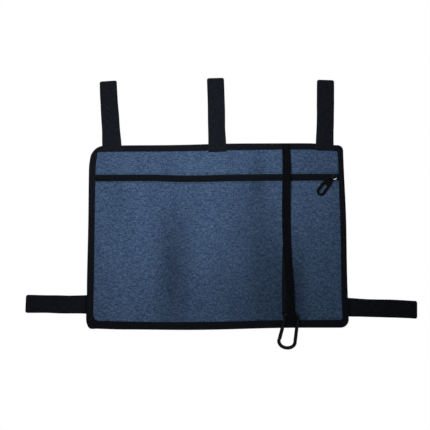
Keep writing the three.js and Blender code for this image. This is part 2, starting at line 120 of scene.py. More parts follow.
def share(name, text, value):
    return bpy.props.FloatProperty(name=name, description=text, default=value, min=0, max=1, subtype="FACTOR")


def number(name, text, value):
    return bpy.props.FloatProperty(name=name, description=text, default=value)


def power(name, text, watts):
    return bpy.props.FloatProperty(name=name, description=text, default=watts, unit="POWER")


def angle(name, text, degrees):
    radians = math.radians(degrees)
    return bpy.props.FloatProperty(name=name, description=text, default=radians, subtype="ANGLE")


def colour(name, text, code):
    return bpy.props.FloatVectorProperty(
        name=name, description=text, default=linear(code), size=4, min=0, max=1, subtype="COLOR"
    )


class ClothSettings(bpy.types.PropertyGroup):
    """Cloth panels and the thread that sews them."""

    light_yarn: colour("Light yarn", "Paler of the two yarns", "596f8d")
    dark_yarn: colour("Dark yarn", "Darker of the two yarns", "273b58")
    yarn_pitch: length("Yarn pitch", "Distance between neighbouring yarns", 0.75)
    slub_width: length("Slub width", "Width of the paler and darker slubs in the yarns", 1.3)
    slub_length: length("Slub length", "Length of those slubs", 4.6)
    panel_inset: length("Panel inset", "How far the cloth's cut edge lies inside the bag's edge", 7)
    grid: length("Grid", "Distance between the points that shape the cloth", 3)
    wave_height: length("Wave height", "Height of the slow waves in the hanging cloth", 1.3)
    wave_length: length("Wave length", "Distance between the slow waves", 86)
    fold_radius: length("Fold radius", "Roundness of the cloth's folded edges beside the zip", 0.6)
    pocket_sag: number("Pocket sag", "How low the pocket is fullest", 1.25)
    pocket_fullness: bpy.props.IntProperty(
        name="Pocket fullness", description="How square the pocket's bulge is", default=3
    )
    thread: colour("Thread", "Sewing thread", "0d0e11")
    thread_width: length("Thread width", "Thickness of the sewing thread", 0.5)
    stitch: length("Stitch", "Length of one stitch", 2.6)
    stitch_gap: length("Stitch gap", "Gap between two stitches", 0.7)


class TapeSettings(bpy.types.PropertyGroup):
    """Edge tape folded over the bag's edge."""

    tape: colour("Tape", "Edge tape", "16181e")
    rib_pitch: length("Rib pitch", "Distance between the tape's ribs", 0.9)
    thickness: length("Thickness", "Thickness of the tape", 0.8)
    top_width: length("Top width", "Width of the tape that shows along the top", 10.6)
    bottom_width: length("Bottom width", "Width of the tape that shows along the bottom", 12)
    left_width: length("Left width", "Width of the tape that shows on the left", 11)
    right_width: length("Right width", "Width of the tape that shows on the right", 9.8)
    top_left_radius: length("Top left radius", "Radius of the bag's top left corner", 20)
    top_right_radius: length("Top right radius", "Radius of the bag's top right corner", 9)
    bottom_right_radius: length("Bottom right radius", "Radius of the bag's bottom right corner", 12.5)
    clip_width: length("Clip width", "Width of the clipped bottom left corner", 8)
    clip_height: length("Clip height", "Height of the clipped bottom left corner", 16)
    lap_rise: length("Lap rise", "How far up the left edge the tape's end is lapped over its start", 20)
    lap_run: length("Lap run", "How far along the bottom edge the lap reaches", 5)
    lap_proud: length("Lap proud", "How far the lap stands proud", 0.8)
    inner_radius: length("Inner radius", "Radius of the tape's inner corners", 3)
    joined_inner_radius: length("Joined inner radius", "Inner radius of the tape's joined corner", 9)
    top_drop: length("Top drop", "How far the top edge hangs below a straight line at its ends", 1)
    top_hump: length("Top hump", "Rise of the top edge between its ends", 2.1)
    top_hump_x: length("Top hump place", "Place of that rise across the bag", 75)
    top_hump_reach: length("Top hump reach", "Reach of that rise on each side", 190)
    right_droop: length("Right droop", "Drop of the top edge at its right end", 2.3)
    right_droop_start: length("Right droop start", "Where that drop starts, across the bag", 145)
    corner_pull: length("Corner pull", "How far the top left corner is drawn in", 3.4)
    corner_pull_reach: length("Corner pull reach", "How far down the left edge that draw reaches", 40)
    right_bulge: length("Right bulge", "How far the right edge bows out", 1.3)
    right_bulge_z: length("Right bulge height", "Height of that bow, from the top edge", -105)
    right_bulge_reach: length("Right bulge reach", "Reach of that bow above and below", 125)
    bottom_sag: length("Bottom sag", "Drop of the bottom edge between its ends", 2)
    bottom_sag_x: length("Bottom sag place", "Place of that drop across the bag", -40)
    bottom_sag_reach: length("Bottom sag reach", "Reach of that drop on each side", 150)
    corner_lift: length("Corner lift", "Rise of the bottom left corner, where the tape is joined", 1.4)
    corner_lift_reach: length("Corner lift reach", "Reach of that rise along the bottom edge", 60)
    step: length("Step", "Distance between cross-sections along the tape", 3)
    wobble: length("Wobble", "How far the tape's edges wander from a straight line", 0.9)
    pucker: length("Pucker", "Height of the puckers between stitches", 0.25)
    seam_inset: length("Seam inset", "Distance of the stitches from the tape's inner edge", 1.7)


class StrapSettings(bpy.types.PropertyGroup):
    """Webbing of the wrap straps and the key strap."""

    webbing: colour("Webbing", "Wrap straps", "191c22")
    narrow_webbing: colour("Narrow webbing", "Key strap", "0d0e12")
    hook_face: colour("Hook face", "Hook patches on the straps' inner faces", "141518")
    loop_face: colour("Loop face", "Loop patches on the bag's back", "191b20")
    rib_pitch: length("Rib pitch", "Distance between the webbing's ribs", 1.1)
    edge: length("Edge", "Roundness of the webbing's selvedge", 0.9)
    end_radius: length("End radius", "Radius of a strap's end corners", 3)
    step: length("Step", "Distance between cross-sections along a strap", 1.5)
    fold_reach: length("Fold reach", "Length of webbing that bends on each side of a fold", 4)
    tuck_reach: length("Tuck reach", "Length of webbing that bends on each side of the tuck", 6)
    spread: length("Spread", "How much wider a strap is on each side than the CAD's", 0.4)
    left_taper: length("Left taper", "How much the top left strap widens on each side from tip to root", 0.9)
    root_flare: length("Root flare", "How much a strap widens on each side at its root", 0.7)
    middle_root_tail: length("Middle root tail", "How far the middle strap's root passes the tape", 2)
    right_root_tail: length("Right root tail", "How far the top right strap's root passes the tape", 1.3)
    sway: length("Sway", "How far a strap wanders from a straight line", 0.5)
    seam_inset: length("Seam inset", "Distance of the stitches from the webbing's edge", 2.6)
    key_bow: length("Key bow", "How far the key strap bows to the left as it hangs", 3.1)
    key_bow_z: length("Key bow height", "Height of that bow, from the bag's top edge", -125)
    key_bow_reach: length("Key bow reach", "Reach of that bow above and below", 130)
    key_spread: length("Key spread", "How much the key strap's edges spread on each side as it hangs", 0.35)
    key_offset: length("Key offset", "How far the key strap hangs left of the carabiner's middle", 1.5)
    key_drift_start: length("Key drift start", "Height at which the key strap starts to lean right", -182)
    key_drift_end: length("Key drift end", "Height at which that lean ends", -232)
    key_loop_drop: length("Key loop drop", "Depth of the key strap's loop below the carabiner's top", 16.7)
    key_split: length("Key split", "Height above the carabiner's top where the loop's layers meet", 8.5)
    key_lap: length("Key lap", "Length of the two layers that are sewn together above the loop", 26)
    # The folded end's length, its place left of the strap and its paleness make the strip of it that shows
    # beside the strap a painted shadow of the strap on the cloth.
    key_tail: length("Key tail", "Length of the folded end that lies loose above those stitches", 70)
    key_tail_shadow_aside: length("Key tail aside", "How far the folded end lies left of the strap's top", 3.6)
    key_tail_shadow_slant: length("Key tail slant", "How much further left it lies where it is sewn", 1.9)
    key_tail_shadow_paleness: number("Key tail paleness", "How much paler the folded end is than the strap", 1.2)
    key_lean_rise: length("Key lean rise", "Height above the carabiner where the strap starts to lean", 45)


class ZipSettings(bpy.types.PropertyGroup):
    """Zip, its slider and its pull."""

    tape: colour("Zip tape", "Woven tape of the zip", "15191f")
    coil: colour("Coil", "Nylon coil of the zip", "0d1014")
    bail: colour("Bail", "Dull metal of the bail and the gate's spring", "222426")
    # The rubbed colour is that of a pale metal streak that stands in for a glint on the slider: a painted
    # highlight.
    rubbed: colour("Rubbed", "Bare metal of the slider's rubbed streak", "d4d8d6")
    pull: colour("Pull", "Moulded pull", "08090a")
    tooth_pitch: length("Tooth pitch", "Distance between two teeth", 1.6)
    coil_wire: length("Coil wire", "Thickness of the coil's wire", 0.62)
    tape_gap: length("Tape gap", "Gap between the two tapes", 0.2)
    mesh: length("Mesh", "How far the teeth of each half reach past the middle", 0.35)
    left_rise: length("Left rise", "How far the zip lies higher on the left", 1.3)
    left_rise_start: length("Left rise start", "Where that rise is full, across the bag", -110)
    left_rise_end: length("Left rise end", "Where that rise ends, across the bag", -60)
    dip: length("Dip", "Drop of the zip in the middle", 1.1)
    dip_x: length("Dip place", "Place of that drop across the bag", -30)
    dip_reach: length("Dip reach", "Reach of that drop on each side", 70)
    stitch_rise: length("Stitch rise", "Distance of the seams from the cloth's folded edges", 2.2)
    bevel: length("Bevel", "Roundness of the pull's edges", 0.45)
    pull_spread: share("Pull spread", "How much wider the pull's body is than the CAD's", 0.14)
    pull_shift: length("Pull shift", "How far the pull's body lies to the left of its neck", 0.8)
    pull_neck: length("Pull neck", "Length of the pull that keeps the CAD's width", 4.5)
    pull_shoulder: length("Pull shoulder", "Distance from the pull's hinge where its body is full width", 10)
    glint_width: length("Rub", "Width of the slider's rubbed streak", 1.3)


class CarabinerSettings(bpy.types.PropertyGroup):
    """Wire carabiner at the end of the key strap."""

    metal: colour("Metal", "Black coat of the carabiner and the zip's slider", "090a0b")
    worn: colour("Worn", "Bare metal where the black has rubbed off", "45484a")
    wire: length("Wire", "Thickness of the wire", 5.3)
    top_width: length("Top width", "Width at the top, between the wire's middles", 19.6)
    corner: length("Corner", "Size of the top corners", 3)
    height: length("Height", "Height between the wire's middles", 49.2)
    bottom_width: length("Bottom width", "Width at the bottom, between the wire's middles", 24.4)
    bottom_depth: length("Bottom depth", "Depth of the round bottom", 9.5)
    hinge_drop: length("Hinge drop", "Distance of the gate's pin below the top", 6.8)
    nose_drop: length("Nose drop", "Distance of the nose below the top", 38)
    tang: length("Tang", "Thickness of the flat tang between the gate's cheeks", 1.8)
    tilt: angle("Tilt", "Lean of the carabiner in its loop", 8.1)
    gate_slim: length("Gate slim", "Length of the gate that stays slim beside the strap's loop", 11)
    gate_taper: length("Gate taper", "Length over which the gate then widens", 4)
    gate_spread: share("Gate spread", "How much wider the gate is below that than the CAD's", 0.4)
    gate_shift: length("Gate shift", "How far the wider gate lies to the inside", 0.3)
    gate_reach: length("Gate reach", "How much further the gate reaches to the nose", 0.5)
    bevel: length("Bevel", "Roundness of the gate's edges", 0.3)


class StageSettings(bpy.types.PropertyGroup):
    """Camera, light and floor."""

    lens: bpy.props.FloatProperty(name="Lens", description="Focal length", default=50, unit="CAMERA")
    distance: length("Distance", "Distance of the camera from the bag", 932.4)
    elevation: angle("Elevation", "Height of the camera above the horizon, below it if negative", -6.23)
    roll: angle("Roll", "Turn of the camera about its line of sight", -0.44)
    aim_x: length("Aim across", "Point that the camera looks at, across the bag", -2.63)
    aim_z: length("Aim height", "Point that the camera looks at, above the bag's top edge", -111.6)
    key_power: power("Key power", "Lamp in front of the bag", 2.4)
    key_x: length("Key across", "Place of the front lamp across the bag", -18)
    key_y: length("Key depth", "Distance of the front lamp before the bag", 422)
    key_z: length("Key height", "Height of the front lamp above the bag's top edge", -34)
    key_size: length("Key size", "Width of the front lamp", 200)
    key_aim_x: length("Key aim across", "Point that the front lamp faces, across the bag", -179)
    key_aim_z: length("Key aim height", "Point that the front lamp faces, above the bag's top edge", 123)
    fill_power: power("Fill power", "Lamp behind the bag", 22)
    fill_size: length("Fill size", "Width of the lamp behind the bag", 800)
    top_power: power("Top power", "Lamp over the floor", 5)
    top_size: length("Top size", "Width of the lamp over the floor", 500)
    room_light: share("Room light", "Brightness of the room all round", 0.03)
    floor_drop: length("Floor drop", "Depth of the floor below the bag's top edge", 760)
    floor: colour("Floor", "Floor", "f2f2f0")


class BagSettings(bpy.types.PropertyGroup):
    """All the settings of the walker bag."""

    cloth: bpy.props.PointerProperty(type=ClothSettings)
    tape: bpy.props.PointerProperty(type=TapeSettings)
    strap: bpy.props.PointerProperty(type=StrapSettings)
    zip: bpy.props.PointerProperty(type=ZipSettings)
    carabiner: bpy.props.PointerProperty(type=CarabinerSettings)
    stage: bpy.props.PointerProperty(type=StageSettings)


def settings():
    return bpy.context.scene.walker_bag


@dataclasses.dataclass(frozen=True)
class Fold:
    """A soft upright fold of the front cloth, in millimetres. Its depth is a real hollow, a ridge when below
    nought; its shade is painted shade, and painted light when below nought.
    """

    at_zip: float
    at_bottom: float
    left: float
    right: float
    height: float
    reach: float
    depth: float
    shade: float


# The shades are painted shade, and painted light where they are below nought, standing in for how light falls
# on each fold. The fourth and fifth also paint shade left and right of the key strap, and the last paints the
# strip above the zip paler.
FOLDS = (
    Fold(at_zip=-72, at_bottom=-68, left=38, right=45, height=-185, reach=150, depth=1.2, shade=0.4),
    Fold(at_zip=-74, at_bottom=-74, left=22, right=22, height=-25, reach=50, depth=0.5, shade=0.16),
    Fold(at_zip=66, at_bottom=66, left=26, right=18, height=-50, reach=70, depth=0.6, shade=0.24),
    Fold(at_zip=70, at_bottom=96, left=95, right=35, height=-215, reach=225, depth=1.2, shade=0.4),
    Fold(at_zip=116, at_bottom=122, left=20, right=26, height=-235, reach=130, depth=0.6, shade=0.46),
    Fold(at_zip=-125, at_bottom=-125, left=115, right=50, height=-240, reach=170, depth=-0.6, shade=-0.2),
    Fold(at_zip=-20, at_bottom=-20, left=400, right=400, height=-20, reach=50, depth=0, shade=-0.06),
)


# Shader node groups


class NodeTree:
    """A node tree with short ways to add and link nodes."""

    def __init__(self, tree):
        self.tree = tree
        self.count = 0

    def add(self, kind, **values):
        node = self.tree.nodes.new(kind)
        node.location = (self.count * 180, -(self.count % 5) * 160)
        self.count += 1
        for name, value in values.items():
            setattr(node, name, value)
        return node

    def link(self, source, target):
        self.tree.links.new(source, target)

    def fill(self, socket, value):
        if isinstance(value, bpy.types.NodeSocket):
            self.link(value, socket)
        else:
            socket.default_value = value

    def math(self, operation, *values):
        node = self.add("ShaderNodeMath", operation=operation)
        for socket, value in zip(node.inputs, values):
            self.fill(socket, value)
        return node.outputs[0]

    def remap(self, value, low, high, new_low=0.0, new_high=1.0):
        node = self.add("ShaderNodeMapRange")
        given = {"From Min": low, "From Max": high, "To Min": new_low, "To Max": new_high, "Value": value}
        for name, entry in given.items():
            self.fill(node.inputs[name], entry)
        return node.outputs["Result"]

    def blend(self, factor, first, second):
        node = self.add("ShaderNodeMix", data_type="FLOAT")
        self.fill(node.inputs["Factor"], factor)
        self.fill(node.inputs["A"], first)
        self.fill(node.inputs["B"], second)
        return node.outputs["Result"]

    def tint(self, factor, first, second, blend_type="MIX"):
        node = self.add("ShaderNodeMix", data_type="RGBA", blend_type=blend_type)
        self.fill(node.inputs[0], factor)
        self.fill(node.inputs[6], first)
        self.fill(node.inputs[7], second)
        return node.outputs[2]

    def noise(self, vector, scale, detail=2.0, roughness=0.5):
        node = self.add("ShaderNodeTexNoise")
        self.fill(node.inputs["Vector"], vector)
        self.fill(node.inputs["Scale"], scale)
        node.inputs["Detail"].default_value = detail
        node.inputs["Roughness"].default_value = roughness
        return node.outputs["Fac"]

    def vector(self, x, y, z=0.0):
        node = self.add("ShaderNodeCombineXYZ")
        for socket, value in zip(node.inputs, (x, y, z)):
            self.fill(socket, value)
        return node.outputs[0]

    def apart(self, vector):
        node = self.add("ShaderNodeSeparateXYZ")
        self.link(vector, node.inputs[0])
        return node.outputs


def new_group(name, inputs, outputs):
    """An empty shader node group. Inputs are (name, kind, default), and outputs are names of values."""
    group = bpy.data.node_groups.new(name, "ShaderNodeTree")
    for label, kind, default in inputs:
        socket = group.interface.new_socket(name=label, in_out="INPUT", socket_type=f"NodeSocket{kind}")
        if default is not None:
            socket.default_value = default
    for label in outputs:
        group.interface.new_socket(name=label, in_out="OUTPUT", socket_type="NodeSocketFloat")
    tree = NodeTree(group)
    return group, tree, tree.add("NodeGroupInput").outputs, tree.add("NodeGroupOutput").inputs


def weave_group():
    """Plain weave: a tone for each yarn, streaked along it, and the yarns' height."""
    name = "Woven yarns"
    if name in bpy.data.node_groups:
        return bpy.data.node_groups[name]
    inputs = [
        ("Surface", "Vector", None),
        ("Across", "Float", 0.001),
        ("Along", "Float", 0.001),
        ("Streak", "Float", 8.0),
    ]
    group, tree, given, result = new_group(name, inputs, ("Tone", "Height"))
    place = tree.apart(given["Surface"])
    across = tree.math("DIVIDE", place[0], given["Across"])
    along = tree.math("DIVIDE", place[1], given["Along"])
    warp = tree.math("FLOOR", across)
    weft = tree.math("FLOOR", along)
    warp_on_top = tree.math("PINGPONG", tree.math("ADD", warp, weft), 1.0)
    warp_round = tree.math("SINE", tree.math("MULTIPLY", tree.math("FRACT", across), math.pi))
    weft_round = tree.math("SINE", tree.math("MULTIPLY", tree.math("FRACT", along), math.pi))
    warp_height = tree.math("MULTIPLY", warp_round, tree.remap(weft_round, 0.0, 1.0, 0.5, 1.0))
    weft_height = tree.math("MULTIPLY", weft_round, tree.remap(warp_round, 0.0, 1.0, 0.5, 1.0))
    tree.link(tree.blend(warp_on_top, weft_height, warp_height), result["Height"])
    # Steps through the noise from yarn to yarn, so that neighbours differ
    warp_step, weft_step, weft_level = 7.31, 5.17, 9.7
    warp_streak = tree.math("DIVIDE", along, given["Streak"])
    weft_streak = tree.math("DIVIDE", across, given["Streak"])
    warp_place = tree.vector(tree.math("MULTIPLY", warp, warp_step), warp_streak)
    weft_place = tree.vector(weft_streak, tree.math("MULTIPLY", weft, weft_step), weft_level)
    tone = tree.blend(warp_on_top, tree.noise(weft_place, 1.0), tree.noise(warp_place, 1.0))
    tree.link(tree.remap(tone, 0.32, 0.68), result["Tone"])
    return group


def heather_group():
    """Slubs that lie along and across the cloth: a tone that is paler or darker from place to place."""
    name = "Heather"
    if name in bpy.data.node_groups:
        return bpy.data.node_groups[name]
    inputs = [("Surface", "Vector", None), ("Width", "Float", 0.002), ("Length", "Float", 0.007)]
    group, tree, given, result = new_group(name, inputs, ("Tone",))
    place = tree.apart(given["Surface"])
    narrow = [tree.math("DIVIDE", place[i], given["Width"]) for i in (0, 1)]
    long = [tree.math("DIVIDE", place[i], given["Length"]) for i in (0, 1)]
    upright = tree.noise(tree.vector(narrow[0], long[1]), 1.0, 1.0)
    level = tree.noise(tree.vector(long[0], narrow[1], 4.3), 1.0, 1.0)
    tree.link(tree.remap(tree.math("ADD", upright, level), 0.78, 1.22), result["Tone"])
    return group


def pile_group():
    """Short upright fibres: their height, and a tone that changes from tuft to tuft."""
    name = "Fibre pile"
    if name in bpy.data.node_groups:
        return bpy.data.node_groups[name]
    inputs = [("Surface", "Vector", None), ("Fineness", "Float", 1500.0)]
    group, tree, given, result = new_group(name, inputs, ("Tone", "Height"))
    fibres = tree.noise(given["Surface"], given["Fineness"], 3.0, 0.65)
    tufts = tree.noise(given["Surface"], tree.math("MULTIPLY", given["Fineness"], 0.12), 2.0)
    tree.link(tree.remap(fibres, 0.3, 0.7), result["Height"])
    mixed = tree.math("ADD", tree.math("MULTIPLY", fibres, 0.6), tree.math("MULTIPLY", tufts, 0.4))
    tree.link(tree.remap(mixed, 0.35, 0.65), result["Tone"])
    return group


def wear_group():
    """A mask of the edges and corners that rubbing reaches first, broken up by fine scratches."""
    name = "Edge wear"
    if name in bpy.data.node_groups:
        return bpy.data.node_groups[name]
    inputs = [("Place", "Vector", None), ("Start", "Float", 0.52), ("Full", "Float", 0.6)]
    group, tree, given, result = new_group(name, inputs, ("Mask", "Scratches"))
    shape = tree.add("ShaderNodeNewGeometry")
    edges = tree.remap(shape.outputs["Pointiness"], given["Start"], given["Full"])
    scratches = tree.noise(given["Place"], 900.0, 4.0, 0.7)
    tree.link(tree.math("MULTIPLY", edges, tree.remap(scratches, 0.42, 0.6)), result["Mask"])
    tree.link(scratches, result["Scratches"])
    return group


# Materials


def new_material(name, roughness, **constants):
    """A new material, its node tree and its Principled shader.

    The constants are values of the shader's inputs, named with underscores for spaces.
    """
    material = bpy.data.materials.new(name)
    material.use_nodes = True
    tree = NodeTree(material.node_tree)
    shader = material.node_tree.nodes["Principled BSDF"]
    shader.inputs["Roughness"].default_value = roughness
    for label, value in constants.items():
        shader.inputs[label.replace("_", " ")].default_value = value
    return material, tree, shader


def use_group(tree, group, **values):
    node = tree.add("ShaderNodeGroup", node_tree=group)
    for label, value in values.items():
        tree.fill(node.inputs[label], value)
    return node.outputs


def bump(tree, shader, height, strength, distance):
    node = tree.add("ShaderNodeBump")
    node.inputs["Strength"].default_value = strength
    node.inputs["Distance"].default_value = distance
    tree.link(height, node.inputs["Height"])
    tree.link(node.outputs["Normal"], shader.inputs["Normal"])


def surface_place(tree):
    return tree.add("ShaderNodeUVMap", uv_map=SURFACE).outputs["UV"]


def woven_material(name, light, dark, across, along, slub, sheen, relief):
    """Woven cloth, webbing or tape in two yarn colours. slub gives the width and length of its slubs."""
    if name in bpy.data.materials:
        return bpy.data.materials[name]
    roughness = 0.85
    material, tree, shader = new_material(
        name, roughness, Sheen_Weight=sheen, Sheen_Roughness=0.5, Specular_IOR_Level=FABRIC_SPECULAR
    )
    place = surface_place(tree)
    weave = use_group(tree, weave_group(), Surface=place, Across=across, Along=along, Streak=7.0)
    slubs = use_group(tree, heather_group(), Surface=place, Width=slub[0], Length=slub[1])
    slub_share = 0.62
    tone_power = 1.5
    tone = tree.math("POWER", tree.blend(slub_share, weave["Tone"], slubs["Tone"]), tone_power)
    yarn = tree.tint(tone, dark, light)
    # Painted shade and painted light: random upright bands, a little darker and paler, that stand in for the
    # light on soft fold shapes
    across_place, along_place, _ = tree.apart(place)
    bands_across, bands_along = 30.0, 7.0
    painted_bands = tree.vector(
        tree.math("MULTIPLY", across_place, bands_across), tree.math("MULTIPLY", along_place, bands_along)
    )
    broad = tree.remap(tree.noise(painted_bands, 1.0, 1.0), 0.3, 0.7, 0.94, 1.06)
    # Painted shade kept on the mesh: the front cloth's fold shade and the tone of the key strap's painted
    # shadow
    shade = tree.add("ShaderNodeAttribute", attribute_name=PAINTED_SHADE).outputs["Fac"]
    painted_fold_tone = tree.math("SUBTRACT", 1.0, shade)
    # Painted shade between the yarns: the low parts of the weave are darker, and the bands and the mesh's
    # painted shade darken them further
    depth = tree.math("MULTIPLY", tree.remap(weave["Height"], 0.0, 0.8, 0.6, 1.0), broad)
    depth = tree.math("MULTIPLY", depth, painted_fold_tone)
    shaded = tree.tint(1.0, yarn, tree.vector(depth, depth, depth), "MULTIPLY")
    tree.link(shaded, shader.inputs["Base Color"])
    tree.link(tree.remap(weave["Height"], 0.0, 1.0, 1.0, roughness), shader.inputs["Roughness"])
    bump(tree, shader, weave["Height"], 0.6, relief)
    return material


def scaled(tint, factor):
    return (*[channel * factor for channel in tint[:3]], 1.0)


def cloth_material():
    cloth = settings().cloth
    light, dark, pitch = cloth.light_yarn, cloth.dark_yarn, cloth.yarn_pitch
    slub = (cloth.slub_width, cloth.slub_length)
    return woven_material("heathered_cloth", light, dark, pitch, pitch, slub, sheen=0.05, relief=0.2 * MM)


def black_weave(name, tint, across, along, relief=0.25 * MM):
    """Black webbing or tape, whose yarns differ a little in tone."""
    slub = (3 * across, 4 * along)
    return woven_material(name, scaled(tint, 1.35), scaled(tint, 0.65), across, along, slub, 0.02, relief)


def pile_material(name, tint, fineness, roughness, relief):
    """Hook or loop pile of a strap's fastening."""
    if name in bpy.data.materials:
        return bpy.data.materials[name]
    material, tree, shader = new_material(
        name, roughness, Sheen_Weight=0.03, Specular_IOR_Level=FABRIC_SPECULAR
    )
    pile = use_group(tree, pile_group(), Surface=surface_place(tree), Fineness=fineness)
    tree.link(tree.tint(pile["Tone"], scaled(tint, 0.5), scaled(tint, 1.5)), shader.inputs["Base Color"])
    bump(tree, shader, pile["Height"], 0.9, relief)
    return material


def thread_material():
    name = "sewing_thread"
    if name in bpy.data.materials:
        return bpy.data.materials[name]
    material, tree, shader = new_material(name, 0.6, Sheen_Weight=0.02, Specular_IOR_Level=FABRIC_SPECULAR)
    tint = settings().cloth.thread
    place = tree.add("ShaderNodeTexCoord").outputs["Object"]
    twist = tree.noise(place, 1800.0, 2.0)
    tree.link(tree.tint(twist, scaled(tint, 0.6), scaled(tint, 1.6)), shader.inputs["Base Color"])
    bump(tree, shader, twist, 0.4, 0.1 * MM)
    return material


def metal_material(name, tint, worn, roughness, metallic, start):
    """Metal with fine scratches, rubbed along edges that are sharper than start."""
    if name in bpy.data.materials:
        return bpy.data.materials[name]
    specular = 0.5 if metallic else METAL_COAT_SPECULAR
    material, tree, shader = new_material(name, roughness, Metallic=metallic, Specular_IOR_Level=specular)
    place = tree.add("ShaderNodeTexCoord").outputs["Object"]
    wear = use_group(tree, wear_group(), Place=place, Start=start, Full=start + 0.1)
    tree.link(tree.tint(wear["Mask"], tint, worn), shader.inputs["Base Color"])
    rough = tree.remap(wear["Scratches"], 0.3, 0.7, roughness - 0.08, roughness + 0.12)
    tree.link(rough, shader.inputs["Roughness"])
    bump(tree, shader, wear["Scratches"], 0.15, 0.05 * MM)
    return material


def black_metal():
    """Coated metal of the zip's slider and the carabiner."""
    hook = settings().carabiner
    return metal_material("rubbed_black_metal", hook.metal, hook.worn, 0.4, 0.0, 0.64)


def bail_metal():
    """Bare metal of the zip's bail and the gate's spring."""
    tint = settings().zip.bail
    return metal_material("rubbed_bright_metal", tint, scaled(tint, 0.7), 0.3, 1.0, 0.52)


def moulded_material(name, tint, roughness):
    """Moulded plastic with a fine grain."""
    if name in bpy.data.materials:
        return bpy.data.materials[name]
    material, tree, shader = new_material(name, roughness, Specular_IOR_Level=PLASTIC_SPECULAR)
    place = tree.add("ShaderNodeTexCoord").outputs["Object"]
    grain = tree.noise(place, 2600.0, 3.0, 0.6)
    wear = use_group(tree, wear_group(), Place=place, Start=0.53, Full=0.62)
    base = tree.tint(grain, scaled(tint, 0.75), scaled(tint, 1.3))
    tree.link(tree.tint(wear["Mask"], base, scaled(tint, 2.4)), shader.inputs["Base Color"])
    tree.link(tree.remap(grain, 0.3, 0.7, roughness - 0.1, roughness + 0.1), shader.inputs["Roughness"])
    bump(tree, shader, grain, 0.2, 0.08 * MM)
    return material


# Shapes


class Skin:
    """Points, faces and real-size surface coordinates of a piece while it is made."""

    def __init__(self):
        self.points = []
        self.faces = []
        self.places = []

    def add(self, points, faces, places):
        start = len(self.points)
        self.points += points
        self.faces += [tuple(start + index for index in face) for face in faces]
        self.places += places
        return self


def running_lengths(points, closed=False):
    """Distance along a line of points at each of them, and at its end if it is closed."""
    path = [*points, points[0]] if closed else points
    lengths = [0.0]
    for before, after in zip(path, path[1:]):
        lengths.append(lengths[-1] + (after - before).length)
    return lengths


def loft(skin, sections, along, closed=False):
    """A surface over closed cross-sections, with flat ends unless the row of sections is closed too."""
    count = len(sections[0])
    rings = len(sections)
    around = running_lengths(sections[0], closed=True)
    faces = []
    places = []
    for ring in range(rings if closed else rings - 1):
        after = (ring + 1) % rings
        near, far = along[ring], along[ring + 1]
        for i in range(count):
            j = (i + 1) % count
            faces.append((ring * count + i, ring * count + j, after * count + j, after * count + i))
            places += [(around[i], near), (around[i + 1], near), (around[i + 1], far), (around[i], far)]
    if not closed:
        for ring, order in ((0, -1), (rings - 1, 1)):
            end = [ring * count + i for i in range(count)][::order]
            faces.append(tuple(end))
            places += [(around[i % count], along[ring]) for i in end]
    return skin.add([point for section in sections for point in section], faces, places)


def add_piece(name, skin, material, body=None):
    """A piece from its skin, which rides on a body if one is given."""
    mesh = bpy.data.meshes.new(name)
    mesh.from_pydata(skin.points, [], skin.faces)
    layer = mesh.uv_layers.new(name=SURFACE)
    layer.data.foreach_set("uv", [number for place in skin.places for number in place])
    mesh.materials.append(material)
    return place_mesh(name, mesh, body)


def place_mesh(name, mesh, body):
    shape = bmesh.new()
    shape.from_mesh(mesh)
    bmesh.ops.recalc_face_normals(shape, faces=shape.faces)
    shape.to_mesh(mesh)
    shape.free()
    mesh.shade_smooth()
    mesh.set_sharp_from_angle(angle=SMOOTH_ANGLE)
    piece = bpy.data.objects.new(name, mesh)
    bpy.context.scene.collection.objects.link(piece)
    if body:
        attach(piece, body)
    return piece


def bevelled_copy(name, node, material, body, bevel, reshape=None, cuts=()):
    """A CAD node's shape with its edges rounded.

    The planes in cuts, each a point and a normal, divide its faces, and reshape moves its points.
    """
    shape = bmesh.new()
    shape.from_mesh(frame["nodes"][node].data)
    bmesh.ops.remove_doubles(shape, verts=shape.verts, dist=0.001 * MM)
    bmesh.ops.dissolve_limit(shape, angle_limit=FLAT_ANGLE, verts=shape.verts, edges=shape.edges)
    sharp = [edge for edge in shape.edges if edge.is_manifold and edge.calc_face_angle() > SHARP_ANGLE]
    bmesh.ops.bevel(
        shape, geom=sharp, offset=bevel, segments=3, profile=0.5, affect="EDGES", clamp_overlap=True
    )
    for point, normal in cuts:
        whole = [*shape.verts, *shape.edges, *shape.faces]
        bmesh.ops.bisect_plane(shape, geom=whole, plane_co=point, plane_no=normal)
    if reshape:
        for vertex in shape.verts:
            vertex.co = reshape(vertex.co)
    mesh = bpy.data.meshes.new(name)
    shape.to_mesh(mesh)
    shape.free()
    mesh.materials.clear()
    mesh.materials.append(material)
    piece = place_mesh(name, mesh, body)
    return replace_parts(piece, node)


def node_span(node, direction):
    """Lowest and highest reach of a CAD node along a direction."""
    reach = [vertex.co.dot(direction) for vertex in frame["nodes"][node].data.vertices]
    return min(reach), max(reach)


def half_span(node, direction):
    """Half of a CAD node's size along a direction."""
    low, high = node_span(node, direction)
    return (high - low) / 2


def wander(distance, wave_length, seed):
    """A smooth number about zero that changes along a length, the same on each run."""
    return noise.noise(Vector((distance / wave_length, seed * 3.7, 0.5)))


def smooth_step(low, high, value):
    t = min(max((value - low) / (high - low), 0.0), 1.0)
    return t * t * (3 - 2 * t)


def hump(value, centre, reach):
    """One at a centre, falling smoothly to nought at a reach on each side of it."""
    return 0.5 + 0.5 * math.cos(math.pi * min(abs(value - centre) / reach, 1.0))


def arc(centre_x, centre_y, radius_x, radius_y, start, end, steps):
    """Points on an arc between two angles in degrees, both ends included."""
    turns = [math.radians(start + (end - start) * i / steps) for i in range(steps + 1)]
    return [(centre_x + radius_x * math.cos(turn), centre_y + radius_y * math.sin(turn)) for turn in turns]


